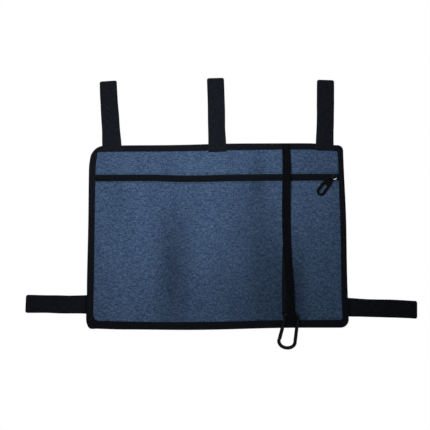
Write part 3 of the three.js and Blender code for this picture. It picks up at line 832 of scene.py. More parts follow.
def bezier(points, steps):
    """Points along a quadratic or cubic curve, without its first one."""
    made = []
    for i in range(1, steps + 1):
        t = i / steps
        row = list(points)
        while len(row) > 1:
            row = [a.lerp(b, t) for a, b in zip(row, row[1:])]
        made.append(row[0])
    return made


def spaced(low, high, step):
    """Evenly spaced numbers from low to high, no further apart than a step."""
    count = max(1, math.ceil((high - low) / step))
    return [low + (high - low) * i / count for i in range(count + 1)]


def band_profile(half_width, front, rear, edge, steps=10):
    """Closed outline of a flat band's cross-section, as (across, depth), with round edges."""
    middle = (front + rear) / 2
    half_depth = (rear - front) / 2
    flat = half_width - edge
    face = [-flat + 2 * flat * i / steps for i in range(steps + 1)]
    right = arc(flat, middle, edge, half_depth, -90, 90, 6)[1:-1]
    left = arc(-flat, middle, edge, half_depth, 90, 270, 6)[1:-1]
    return [(a, front) for a in face] + right + [(a, rear) for a in reversed(face)] + left


def tube(skin, path, radii, sides, side_hint, closed=False):
    """A round bar along a path. radii gives (in the side hint's plane, across it) at each point."""
    sections = []
    count = len(path)
    for i, point in enumerate(path):
        before = path[i - 1] if i or closed else path[0]
        after = path[(i + 1) % count] if i + 1 < count or closed else path[-1]
        ahead = (after - before).normalized()
        side = (side_hint - ahead * side_hint.dot(ahead)).normalized()
        other = ahead.cross(side)
        wide, deep = radii[i]
        turns = [2 * math.pi * k / sides for k in range(sides)]
        sections.append([point + other * (wide * math.cos(t)) + side * (deep * math.sin(t)) for t in turns])
    return loft(skin, sections, running_lengths(path, closed), closed)


# Stitches


def sew(skin, path, outward, closed=False):
    """A row of stitches along a path. outward gives the surface's normal at a distance along it."""
    cloth = settings().cloth
    lengths = running_lengths(path, closed)
    points = [*path, path[0]] if closed else path
    total = lengths[-1]
    count = max(1, round(total / (cloth.stitch + cloth.stitch_gap)))
    pitch = total / count
    margin = cloth.stitch_gap / 2
    at = 0

    def point_at(distance):
        nonlocal at
        while at + 2 < len(lengths) and lengths[at + 1] < distance:
            at += 1
        step = lengths[at + 1] - lengths[at]
        return points[at].lerp(points[at + 1], (distance - lengths[at]) / step if step else 0.0)

    radius = cloth.thread_width / 2
    shares = (0.0, 0.2, 0.5, 0.8, 1.0)
    heights = (-0.6, 0.55, 0.8, 0.55, -0.6)
    widths = (0.55, 1.0, 1.0, 1.0, 0.55)
    for index in range(count):
        start = point_at(index * pitch + margin)
        end = point_at((index + 1) * pitch - margin)
        normal = outward((index + 0.5) * pitch)
        line = [start.lerp(end, s) + normal * (radius * h) for s, h in zip(shares, heights)]
        tube(skin, line, [(radius * w, radius * w) for w in widths], 6, normal)
    return skin


def sew_box(skin, centre, across, along, half_width, half_length, normal, crossed=False):
    """Stitches round a rectangle, and corner to corner if it is crossed."""
    signs = [(-1, -1), (1, -1), (1, 1), (-1, 1)]
    corners = [centre + across * (half_width * a) + along * (half_length * b) for a, b in signs]
    runs = [(corners[i], corners[(i + 1) % 4]) for i in range(4)]
    if crossed:
        runs += [(corners[0], corners[2]), (corners[1], corners[3])]
    for run in runs:
        sew(skin, list(run), lambda distance: normal)
    return skin


def add_stitches(name, skin, body):
    return add_piece(name, skin, thread_material(), body)


# Cloth panels


@functools.cache
def bag_edges():
    """Left, right, bottom and top of the bag."""
    low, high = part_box("left_binding")[0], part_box("right_binding")[1]
    return low.x, high.x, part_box("bottom_binding")[0].z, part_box("top_binding")[1].z


def opening_edges():
    """Left, right, bottom and top of the cloth that shows inside the edge tape."""
    left, right, bottom, top = bag_edges()
    tape = settings().tape
    return left + tape.left_width, right - tape.right_width, bottom + tape.bottom_width, top - tape.top_width


def hang(x, z):
    """How far a point of the bag hangs above its straight place, from the bows of its edges and its zip."""
    tape = settings().tape
    zipper = settings().zip
    left, right, bottom, top = bag_edges()
    zip_line = joints["zip_slide"]["pos_m"][2]
    at_top = tape.top_hump * hump(x, tape.top_hump_x, tape.top_hump_reach) - tape.top_drop
    at_top -= tape.right_droop * smooth_step(tape.right_droop_start, right - tape.right_width, x)
    at_zip = zipper.left_rise * smooth_step(zipper.left_rise_end, zipper.left_rise_start, x)
    at_zip -= zipper.dip * hump(x, zipper.dip_x, zipper.dip_reach)
    at_bottom = tape.corner_lift * hump(x, left, tape.corner_lift_reach)
    at_bottom -= tape.bottom_sag * hump(x, tape.bottom_sag_x, tape.bottom_sag_reach)
    if z > zip_line:
        return at_zip + (at_top - at_zip) * (z - zip_line) / (top - zip_line)
    return at_zip + (at_bottom - at_zip) * (z - zip_line) / (bottom - zip_line)


def hung(point):
    """A point of the bag as it hangs: the top left corner is drawn in and the right edge bows out."""
    tape = settings().tape
    left, right, _, top = bag_edges()
    reach = tape.corner_pull_reach
    inward = tape.corner_pull * hump(point.x, left, 1.5 * reach) * hump(point.z, top, reach)
    outward = tape.right_bulge * hump(point.x, right, right)
    outward *= hump(point.z, tape.right_bulge_z, tape.right_bulge_reach)
    return point + Vector((inward + outward, 0, hang(point.x, point.z)))


def cloth_wave(x, z, seed):
    """Slow waves of the hanging cloth, mostly upright."""
    cloth = settings().cloth
    slanted = x + 0.25 * z
    broad = noise.noise(Vector((slanted / cloth.wave_length, z / (3.5 * cloth.wave_length), seed)))
    fine = noise.noise(Vector((slanted / (0.4 * cloth.wave_length), z / cloth.wave_length, seed + 5)))
    return cloth.wave_height * (1.5 * broad + 0.5 * fine)


def folds_at(x, z):
    """How far back the front cloth lies at a point from the fold shapes, and how much painted shade they put
    on it, which is painted light where it is below nought.
    """
    _, _, bottom, _ = bag_edges()
    zip_line = joints["zip_slide"]["pos_m"][2]
    down = min(max((zip_line - z) / (zip_line - bottom), 0.0), 1.0)
    depth = 0.0
    shade = 0.0
    for fold in FOLDS:
        middle = (fold.at_zip + (fold.at_bottom - fold.at_zip) * down) * MM
        reach = (fold.right if x > middle else fold.left) * MM
        near = hump(x, middle, reach) * hump(z, fold.height * MM, fold.reach * MM)
        depth += fold.depth * MM * near
        shade += fold.shade * near
    return depth, shade


def panel(name, node, bottom, top, depth_at, folded, shaded):
    """A sheet of cloth over a grid. depth_at gives its rear face, and folded names its turned-in edges."""
    cloth = settings().cloth
    left, right, _, _ = bag_edges()
    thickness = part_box("front_upper_panel")[1].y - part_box("front_upper_panel")[0].y
    columns = spaced(left + cloth.panel_inset, right - cloth.panel_inset, cloth.grid)
    rows = spaced(bottom, top, cloth.grid)
    fold = cloth.fold_radius
    lips = [fold * share for share in (0.0, 0.3, 1.0)]
    if "top" in folded:
        rows = [*rows[:-1], *[top - lip for lip in reversed(lips)]]
    if "bottom" in folded:
        rows = [*[bottom + lip for lip in lips], *rows[1:]]
    sections = []
    shades = []
    for z in rows:
        edge = min([abs(z - top) if "top" in folded else 1.0, abs(z - bottom) if "bottom" in folded else 1.0])
        pinch = 1 - max(0.0, 1 - edge / fold) ** 2
        half = thickness / 2 * math.sqrt(max(pinch, 0.02))
        front = []
        rear = []
        for x in columns:
            middle = depth_at(x, z) - thickness / 2
            front.append(hung(Vector((x, middle - half, z))))
            rear.append(hung(Vector((x, middle + half, z))))
        sections.append(front + rear[::-1])
        # Painted shade of each fold, kept on the mesh for the cloth's material
        shades += [folds_at(x, z)[1] if shaded else 0.0 for x in columns + columns[::-1]]
    skin = loft(Skin(), sections, [z - rows[0] for z in rows])
    piece = add_piece(name, skin, cloth_material(), BAG)
    piece.data.attributes.new(PAINTED_SHADE, "FLOAT", "POINT").data.foreach_set("value", shades)
    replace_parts(piece, node)


class MakePanels(bpy.types.Operator):
    """Makes the bag's back, the strip above the zip and the pocket's front"""

    bl_idname = "walker_bag.panels"
    bl_label = "Cloth panels"

    def execute(self, context):
        cloth = settings().cloth
        _, _, bag_bottom, bag_top = bag_edges()
        left, right, bottom, top = opening_edges()
        zip_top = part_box("front_upper_panel")[0].z
        zip_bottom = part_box("front_lower_panel")[1].z
        front_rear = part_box("front_upper_panel")[1].y
        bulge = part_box("front_upper_panel")[0].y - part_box("front_lower_panel")[0].y
        margin = 0.4 * (top - zip_top)

        def shown(x, z, low, high):
            """Nought at the cloth's held edges and one well inside them."""
            beside = min(x - left, right - x)
            between = min(z - low, high - z)
            return smooth_step(0.0, 2 * margin, beside) * smooth_step(0.0, margin, between)

        def upper_depth(x, z):
            wave = 0.7 * cloth_wave(x, z, 1.3) - folds_at(x, z)[0]
            return front_rear - wave * shown(x, z, zip_top, top)

        def lower_depth(x, z):
            across = min(max((x - left) / (right - left), 0.0), 1.0)
            down = min(max((zip_bottom - z) / (zip_bottom - bottom), 0.0), 1.0)
            crown = 1 - abs(2 * across - 1) ** cloth.pocket_fullness
            swell = bulge * crown * math.sin(math.pi * down**cloth.pocket_sag) ** 2
            wave = cloth_wave(x, z, 1.3) - folds_at(x, z)[0]
            return front_rear - swell - wave * shown(x, z, bottom, zip_bottom)

        back_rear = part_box("back_panel")[1].y
        low = bag_bottom + cloth.panel_inset
        high = bag_top - cloth.panel_inset
        panel("cloth_back", "back_panel", low, high, lambda x, z: back_rear, (), False)
        panel("cloth_above_zip", "front_upper_panel", zip_top, high, upper_depth, ("bottom",), True)
        panel("cloth_pocket_front", "front_lower_panel", low, zip_bottom, lower_depth, ("top",), True)
        seams = Skin()
        rise = settings().zip.stitch_rise
        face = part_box("front_upper_panel")[0].y
        for z in (zip_top + rise, zip_bottom - rise):
            line = [hung(Vector((x, face, z))) for x in spaced(left, right, cloth.grid)]
            sew(seams, line, lambda distance: FRONT)
        add_stitches("zip_seams", seams, BAG)
        return {"FINISHED"}


# Edge tape


def rounded_loop(left, right, bottom, top, radii, step, corner_steps):
    """Points round a rectangle from its bottom left. radii gives each corner's width and height."""
    bottom_left, bottom_right, top_right, top_left = radii
    corners = [
        (right - bottom_right[0], bottom + bottom_right[1], bottom_right, -90),
        (right - top_right[0], top - top_right[1], top_right, 0),
        (left + top_left[0], top - top_left[1], top_left, 90),
        (left + bottom_left[0], bottom + bottom_left[1], bottom_left, 180),
    ]
    across, down = bag_edges()[1] - bag_edges()[0], bag_edges()[3] - bag_edges()[2]
    counts = [math.ceil(size / step) for size in (across, down, across, down)]
    points = []
    last = (left + bottom_left[0], bottom)
    for (x, z, radius, start), count in zip(corners, counts):
        turn = arc(x, z, *radius, start, start + 90, corner_steps)
        for i in range(1, count):
            share_done = i / count
            points.append(tuple(a + (b - a) * share_done for a, b in zip(last, turn[0])))
        points += turn
        last = turn[-1]
    return [Vector((x, 0.0, z)) for x, z in points]


def tape_profile(width, front, rear, thickness):
    """The folded tape's cross-section as (inward, depth), with a round fold over the bag's edge."""
    middle = (front + rear) / 2
    outer = (rear - front) / 2
    inner = outer - thickness
    flats = (1.0, 0.93, 0.86, 0.78, 0.7, 0.6, 0.5)
    reach = [outer + (width - outer) * (2 * s - 1) for s in flats]
    fold = arc(outer, middle, outer, outer, 270, 90, 10)
    lining = arc(outer, middle, inner, inner, 90, 270, 8)
    front_flat = [(a, front) for a in reach[:-1]]
    rear_flat = [(a, rear) for a in reach[:-1][::-1]]
    back_again = [(a, rear - thickness) for a in reach[:-1]]
    front_inside = [(a, front + thickness) for a in reach[:-1][::-1]]
    return front_flat + fold + rear_flat + back_again + lining + front_inside


class MakeEdgeTape(bpy.types.Operator):
    """Makes the tape folded over the bag's edge, its stitches and the join at its corner"""

    bl_idname = "walker_bag.edge_tape"
    bl_label = "Edge tape"

    def execute(self, context):
        tape = settings().tape
        round_corners = (tape.bottom_right_radius, tape.top_right_radius, tape.top_left_radius)
        radii = [(tape.clip_width, tape.clip_height), *[(radius, radius) for radius in round_corners]]
        inner_radii = [(tape.joined_inner_radius,) * 2, *[(tape.inner_radius,) * 2] * 3]
        outer = [hung(point) for point in rounded_loop(*bag_edges(), radii, tape.step, 9)]
        inner = [hung(point) for point in rounded_loop(*opening_edges(), inner_radii, tape.step, 9)]
        front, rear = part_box("top_binding")[0].y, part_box("top_binding")[1].y
        lengths = running_lengths(outer, closed=True)
        edge_wave, lip_wave, pucker_wave = 90 * MM, 50 * MM, 7 * MM
        sections = []
        front_seam = []
        rear_seam = []
        for i, (edge, lip) in enumerate(zip(outer, inner)):
            inward = (lip - edge).normalized()
            shift = tape.wobble * wander(lengths[i], edge_wave, 1.0)
            start = edge + inward * shift
            width = (lip - edge).length - shift + 0.7 * tape.wobble * wander(lengths[i], lip_wave, 2.0)
            section = []
            for a, depth in tape_profile(width, front, rear, tape.thickness):
                near_lip = smooth_step(0.55 * width, width, a)
                side = 1.0 if depth > (front + rear) / 2 else -1.0
                pucker = tape.pucker * near_lip * wander(lengths[i], pucker_wave, 3.0 + side)
                section.append(start + inward * a + Vector((0, depth + side * pucker, 0)))
            sections.append(section)
            seam = start + inward * (width - tape.seam_inset)
            front_seam.append(seam + Vector((0, front, 0)))
            rear_seam.append(seam + Vector((0, rear, 0)))
        finish = black_weave("edge_tape_weave", tape.tape, 0.45 * MM, tape.rib_pitch)
        piece = add_piece("edge_tape", loft(Skin(), sections, lengths, closed=True), finish, BAG)
        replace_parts(piece, "top_binding", "bottom_binding", "left_binding", "right_binding")
        seams = sew(Skin(), front_seam, lambda distance: FRONT, closed=True)
        sew(seams, rear_seam, lambda distance: BACK, closed=True)
        add_stitches("edge_tape_seams", seams, BAG)
        self.join_lap(outer, inner, lengths, front, rear, finish)
        return {"FINISHED"}

    def join_lap(self, outer, inner, lengths, front, rear, finish):
        """The tape's end, lapped over its start round the bottom left corner."""
        tape = settings().tape
        start = lengths[-1] - tape.clip_height - tape.lap_rise
        end = [i for i in range(len(outer)) if lengths[i] < tape.lap_run]
        chosen = [i for i in range(len(outer)) if start < lengths[i]] + end
        proud = tape.lap_proud
        sections = []
        path = []
        for i in chosen:
            inward = (inner[i] - outer[i]).normalized()
            width = (inner[i] - outer[i]).length + proud
            profile = tape_profile(width, front - proud, rear + proud, tape.thickness)
            sections.append([outer[i] + inward * (a - proud) + Vector((0, depth, 0)) for a, depth in profile])
            path.append(outer[i])
        skin = loft(Skin(), sections, running_lengths(path))
        add_piece("edge_tape_lap", skin, finish, BAG)


# Zip


class MakeZip(bpy.types.Operator):
    """Makes the zip's two tapes and its two coils"""

    bl_idname = "walker_bag.zip"
    bl_label = "Zip"

    def execute(self, context):
        zipper = settings().zip
        middle = (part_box("zip_tape_upper")[0].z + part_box("zip_tape_lower")[1].z) / 2
        for side, sign in (("upper", 1), ("lower", -1)):
            self.tape(f"zip_tape_{side}", middle, sign, zipper)
            self.coil(f"zip_coil_{side}", middle, sign, zipper)
        return {"FINISHED"}

    def tape(self, node, middle, sign, zipper):
        low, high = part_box(node)
        reach = (high.z - middle) if sign > 0 else (middle - low.z)
        inner = zipper.tape_gap / 2
        half = (reach - inner) / 2
        centre = middle + sign * (inner + half)
        profile = band_profile(half, low.y, high.y, 0.25 * MM)
        stations = spaced(low.x, high.x, 6 * MM)
        sections = [[hung(Vector((x, depth, centre + a))) for a, depth in profile] for x in stations]
        skin = loft(Skin(), sections, [x - stations[0] for x in stations])
        finish = black_weave("zip_tape_weave", zipper.tape, 0.5 * MM, 0.7 * MM)
        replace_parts(add_piece(f"{node}_weave", skin, finish, BAG), node)

    def coil(self, node, middle, sign, zipper):
        """One unbroken helix of nylon wire, whose flattened turns are the zip's teeth."""
        low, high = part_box(node)
        radius = zipper.coil_wire / 2
        head = -zipper.mesh
        reach = (high.z - middle) if sign > 0 else (middle - low.z)
        half_height = (reach - head) / 2 - radius
        half_depth = (high.y - low.y) / 2 - radius
        centre = Vector((0, (low.y + high.y) / 2, middle + sign * (head + reach) / 2))
        turns = int((high.x - low.x - 2 * radius) / zipper.tooth_pitch)
        per_turn = 10
        start = low.x + radius + (zipper.tooth_pitch / 2 if sign < 0 else 0.0)
        path = []
        for step in range(turns * per_turn - per_turn // 2):
            turn = 2 * math.pi * step / per_turn
            x = start + zipper.tooth_pitch * step / per_turn
            offset = Vector((x, -half_depth * math.sin(turn), half_height * math.cos(turn)))
            path.append(hung(centre + offset))
        skin = tube(Skin(), path, [(radius, radius)] * len(path), 6, RIGHT)
        material = moulded_material("coil_nylon", zipper.coil, 0.42)
        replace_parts(add_piece(f"{node}_teeth", skin, material, BAG), node)


class MakeSlider(bpy.types.Operator):
    """Makes the zip's slider, its bail and its pull"""

    bl_idname = "walker_bag.slider"
    bl_label = "Zip slider"

    def execute(self, context):
        zipper = settings().zip
        self.body()
        self.glint_streak(zipper)
        self.bail()
        moulded = moulded_material("pull_moulding", zipper.pull, 0.7)
        node = "zip_pull"
        bevelled_copy("zip_pull_tab", node, moulded, node, zipper.bevel, self.pull_point)
        return {"FINISHED"}

    def pull_point(self, point):
        """Where a point of the CAD's pull lies: the body is wider and lies further left, the neck stays."""
        zipper = settings().zip
        axis = Vector(joints["zip_pull_flip"]["axis"])
        along = Vector((-axis.z, 0, axis.x))
        arm = point - Vector(joints["zip_pull_flip"]["pos_m"])
        share_of_body = smooth_step(zipper.pull_neck, zipper.pull_shoulder, arm.dot(along))
        return point + axis * share_of_body * (arm.dot(axis) * zipper.pull_spread + zipper.pull_shift)

    def body(self):
        """Two plates that taper to the closed side, the front one crowned, on a thin stem."""
        low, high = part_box("zip_slider")
        centre = (low + high) / 2
        half_length = (high.x - low.x) / 2
        half_height = (high.z - low.z) / 2
        outer_plate = 1.2 * MM
        inner_plate = 0.9 * MM
        crown = 0.35 * MM
        narrowing = 0.14
        blunt_end = 0.45
        skin = Skin()
        for front, rear, rise in ((low.y, low.y + outer_plate, crown), (high.y - inner_plate, high.y, 0.0)):
            sections = []
            stations = [-1.0, -0.96, -0.85, -0.6, -0.2, 0.2, 0.6, 0.85, 0.96, 1.0]
            for station in stations:
                round_end = math.sqrt(max(0.0, 1 - abs(station) ** 6))
                taper = 1 - narrowing + narrowing * station
                half = half_height * taper * (blunt_end + (1 - blunt_end) * round_end)
                profile = band_profile(half, front, rear, min(0.5 * MM, 0.4 * half))
                section = []
                for a, depth in profile:
                    on_front = depth < (front + rear) / 2
                    lift = rise * (1 - (a / half_height) ** 2) * round_end if on_front else 0.0
                    section.append(Vector((centre.x + half_length * station, depth - lift, centre.z + a)))
                sections.append(section)
            loft(skin, sections, [half_length * station for station in stations])
        stem_half = 0.5 * MM
        stem_length = 2.5 * MM
        stem = []
        for y in (low.y + outer_plate / 2, high.y - inner_plate / 2):
            ring = arc(centre.x, centre.z, stem_length, stem_half, 0, 330, 11)
            stem.append([Vector((x, y, z)) for x, z in ring])
        loft(skin, stem, [0.0, high.y - low.y])
        piece = add_piece("zip_slider_body", skin, black_metal(), "zip_slider")
        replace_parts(piece, "zip_slider")

    def glint_streak(self, zipper):
        """A pale metal streak along the front plate's lower edge, rising to the right, that stands in for a
        glint on the slider: a painted highlight.
        """
        low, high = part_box("zip_slider")
        middle = (low + high) / 2
        half = high - middle
        front = low.y - 0.2 * MM
        edge = low.z + 0.5 * zipper.glint_width
        start = Vector((middle.x - 0.4 * half.x, front, edge))
        bend = Vector((middle.x + 0.2 * half.x, front, edge))
        end = Vector((middle.x + 0.65 * half.x, front, middle.z - 0.4 * half.z))
        steps = 8
        path = [start, *bezier([start, bend, end], steps)]
        thin_end = 0.2
        swells = [thin_end + (1 - thin_end) * math.sin(math.pi * i / steps) for i in range(steps + 1)]
        widths = [0.5 * zipper.glint_width * swell for swell in swells]
        skin = tube(Skin(), path, [(width, 0.4 * width) for width in widths], 8, BACK)
        metal = metal_material("bare_metal", zipper.rubbed, zipper.rubbed, 0.35, 1.0, 0.52)
        add_piece("zip_slider_rubbed_edge", skin, metal, "zip_slider")

    def bail(self):
        """An arch of flat wire, in line with the pull that hangs in it."""
        axis = Vector(joints["zip_pull_flip"]["axis"])
        along = Vector((-axis.z, 0, axis.x))
        centre = Vector(joints["zip_pull_flip"]["pos_m"])
        low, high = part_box("zip_bail")
        half_width = half_span("zip_bail", axis)
        wire = 1.2 * MM
        top = low.y + wire / 2
        corner = 1.6 * MM
        reach = half_span("zip_bail", along) - wire / 2
        rise = arc(-reach + corner, top + corner, corner, corner, 180, 270, 5)
        fall = arc(reach - corner, top + corner, corner, corner, 270, 360, 5)
        line = [(-reach, high.y), *rise, *fall, (reach, high.y)]
        path = [Vector((centre.x, 0, centre.z)) + along * a + Vector((0, depth, 0)) for a, depth in line]
        skin = tube(Skin(), path, [(wire / 2, half_width)] * len(path), 12, axis)
        piece = add_piece("zip_bail_arch", skin, bail_metal(), "zip_slider")
        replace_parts(piece, "zip_bail")


# Wrap straps


class StrapFrame:
    """Where one wrap strap lies: its folds, its directions and its ends along its length."""

    def __init__(self, name):
        fold = joints[f"{name}_fold"]
        tuck = joints[f"{name}_tuck"]
        axis = Vector(fold["axis"])
        self.name = name
        self.across = -axis
        self.along = Vector((axis.z, 0, -axis.x))
        low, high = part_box(f"{name}_base")
        self.front, self.rear = low.y, high.y
        self.origin = Vector(fold["pos_m"])
        self.origin.y = 0.0
        start = self.origin.dot(self.along)
        strap = settings().strap
        tails = {"top_middle": strap.middle_root_tail, "top_right": strap.right_root_tail}
        self.root = node_span(f"{name}_base", self.along)[0] - start - tails.get(name, 0.0)
        self.tip = node_span(f"{name}_tail", self.along)[1] - start
        self.tuck = Vector(tuck["pos_m"]).dot(self.along) - start
        self.middle = self.tuck / 2
        self.half_width = half_span(f"{name}_over", self.across)

    def at(self, along, across, depth):
        return self.origin + self.along * along + self.across * across + Vector((0, depth, 0))


class MakeStraps(bpy.types.Operator):
    """Makes the five wrap straps with their hook and loop patches and stitches"""

    bl_idname = "walker_bag.straps"
    bl_label = "Wrap straps"

    def execute(self, context):
        for seed, name in enumerate(STRAPS):
            place = StrapFrame(name)
            self.webbing(place, seed)
            self.patches(place)
            self.seams(place)
        return {"FINISHED"}

    def length_of(self, place, start, end, seed):
        """One length of webbing between two distances along the strap."""
        strap = settings().strap
        stations = spaced(start, end, strap.step)
        if end == place.tip:
            radius = strap.end_radius
            bends = [radius * (1 - math.sin(math.radians(turn))) for turn in (0, 15, 30, 45, 60, 75, 90)]
            stations = [s for s in stations if s < end - radius] + [end - bend for bend in bends]
        edge_wave, sway_wave, held_length = 20 * MM, 60 * MM, 30 * MM
        end_thinning = 0.35
        sections = []
        for s in stations:
            half = place.half_width + strap.spread
            half += strap.root_flare * smooth_step(place.middle, place.root, s)
            if place.name == "top_left":
                half += strap.left_taper * smooth_step(place.tip, place.root, s)
            past = max(0.0, s - (place.tip - strap.end_radius)) / strap.end_radius
            half -= strap.end_radius * (1 - math.sqrt(max(0.0, 1 - past * past)))
            half += 0.5 * strap.sway * wander(s, edge_wave, seed + 20)
            free = smooth_step(0.0, held_length, s)
            shift = strap.sway * 2 * wander(s, sway_wave, seed) * free
            thin = 1 - end_thinning * smooth_step(0.7, 1.0, past)
            middle = (place.front + place.rear) / 2
            depth = (place.rear - place.front) / 2 * thin
            profile = band_profile(half, middle - depth, middle + depth, strap.edge, 12)
            sections.append([place.at(s, a + shift, y) for a, y in profile])
        return loft(Skin(), sections, stations)

    def webbing(self, place, seed):
        """The strap in two lengths that meet half way over the tube."""
        strap = settings().strap
        finish = black_weave("strap_weave", strap.webbing, 0.8 * MM, strap.rib_pitch, 0.3 * MM)
        name = place.name
        over, tail = f"{name}_over", f"{name}_tail"
        inner = self.length_of(place, place.root, place.middle, seed)
        piece = add_piece(f"{name}_inner_length", inner, finish)
        reach = strap.fold_reach
        place.at(-reach, 0, 0)
        place.at(reach, 0, 0)
        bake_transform(piece)
        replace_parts(piece, f"{name}_base", over)
        outer = self.length_of(place, place.middle, place.tip, seed)
        piece = add_piece(f"{name}_outer_length", outer, finish)
        reach = strap.tuck_reach
        start = place.at(place.tuck - reach, 0, 0)
        end = place.at(place.tuck + reach, 0, 0)
        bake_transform(piece)
        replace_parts(piece, tail)

    def patch(self, place, node, finish, slot, body):
        """A flat patch with soft edges, cut to the size of its CAD node."""
        start = place.origin.dot(place.along)
        low, high = [end - start for end in node_span(node, place.along)]
        left, right = node_span(node, place.across)
        middle = (left + right) / 2 - place.origin.dot(place.across)
        front, rear = [corner.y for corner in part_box(node)]
        edge = 0.5 * MM
        stations = [low, *spaced(low + edge, high - edge, 2 * MM), high]
        sections = []
        for s in stations:
            shrink = 0.4 * MM if s in (low, high) else 0.0
            profile = band_profile((right - left) / 2 - shrink, front + shrink, rear - shrink, edge)
            sections.append([place.at(s, a + middle, y) for a, y in profile])
        piece = add_piece(f"{node}_patch", loft(Skin(), sections, stations), finish, body)
        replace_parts(piece, node)

    def patches(self, place):
        strap = settings().strap
        hooks = pile_material("hook_pile", strap.hook_face, 900.0, 0.55, 0.5 * MM)
        loops = pile_material("loop_pile", strap.loop_face, 1500.0, 0.9, 0.6 * MM)
        self.patch(place, f"{place.name}_hook", hooks, "hook_face", f"{place.name}_tail")
        self.patch(place, f"{place.name}_loop", loops, "loop_face", BAG)

    def seams(self, place):
        """Stitches that hold the strap's root, its hook patch and the loop patch."""
        half = place.half_width - settings().strap.seam_inset
        top_edge = self.bag_edge(place) - 1.5 * MM
        bottom_edge = place.root + 1.6 * MM
        middle = (top_edge + bottom_edge) / 2
        root = Skin()
        centre = place.at(middle, 0, place.front)
        half_length = (top_edge - bottom_edge) / 2
        sew_box(root, centre, place.across, place.along, half, half_length, FRONT, crossed=True)
        add_stitches(f"{place.name}_root_seams", root, BAG)
        tail = self.patch_seams(place, f"{place.name}_hook", place.front, FRONT)
        add_stitches(f"{place.name}_tail_seams", tail, f"{place.name}_tail")
        loop_node = f"{place.name}_loop"
        loop = self.patch_seams(place, loop_node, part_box(loop_node)[1].y, BACK)
        add_stitches(f"{place.name}_loop_seams", loop, BAG)

    def patch_seams(self, place, node, depth, normal):
        """Stitches round a patch, on a face at a depth."""
        inset = settings().strap.seam_inset
        start = place.origin.dot(place.along)
        low, high = node_span(node, place.along)
        low, high = low - start + inset / 2, high - start - inset / 2
        half = place.half_width - inset
        centre = place.at((low + high) / 2, 0, depth)
        return sew_box(Skin(), centre, place.across, place.along, half, (high - low) / 2, normal)

    def bag_edge(self, place):
        """Distance along the strap at which it leaves the bag."""
        left, right, _, top = bag_edges()
        edge = Vector((left if place.along.x < 0 else right, 0, place.origin.z))
        if abs(place.along.z) > abs(place.along.x):
            edge = Vector((place.origin.x, 0, top))
        return (edge - place.origin).dot(place.along)


# Key strap


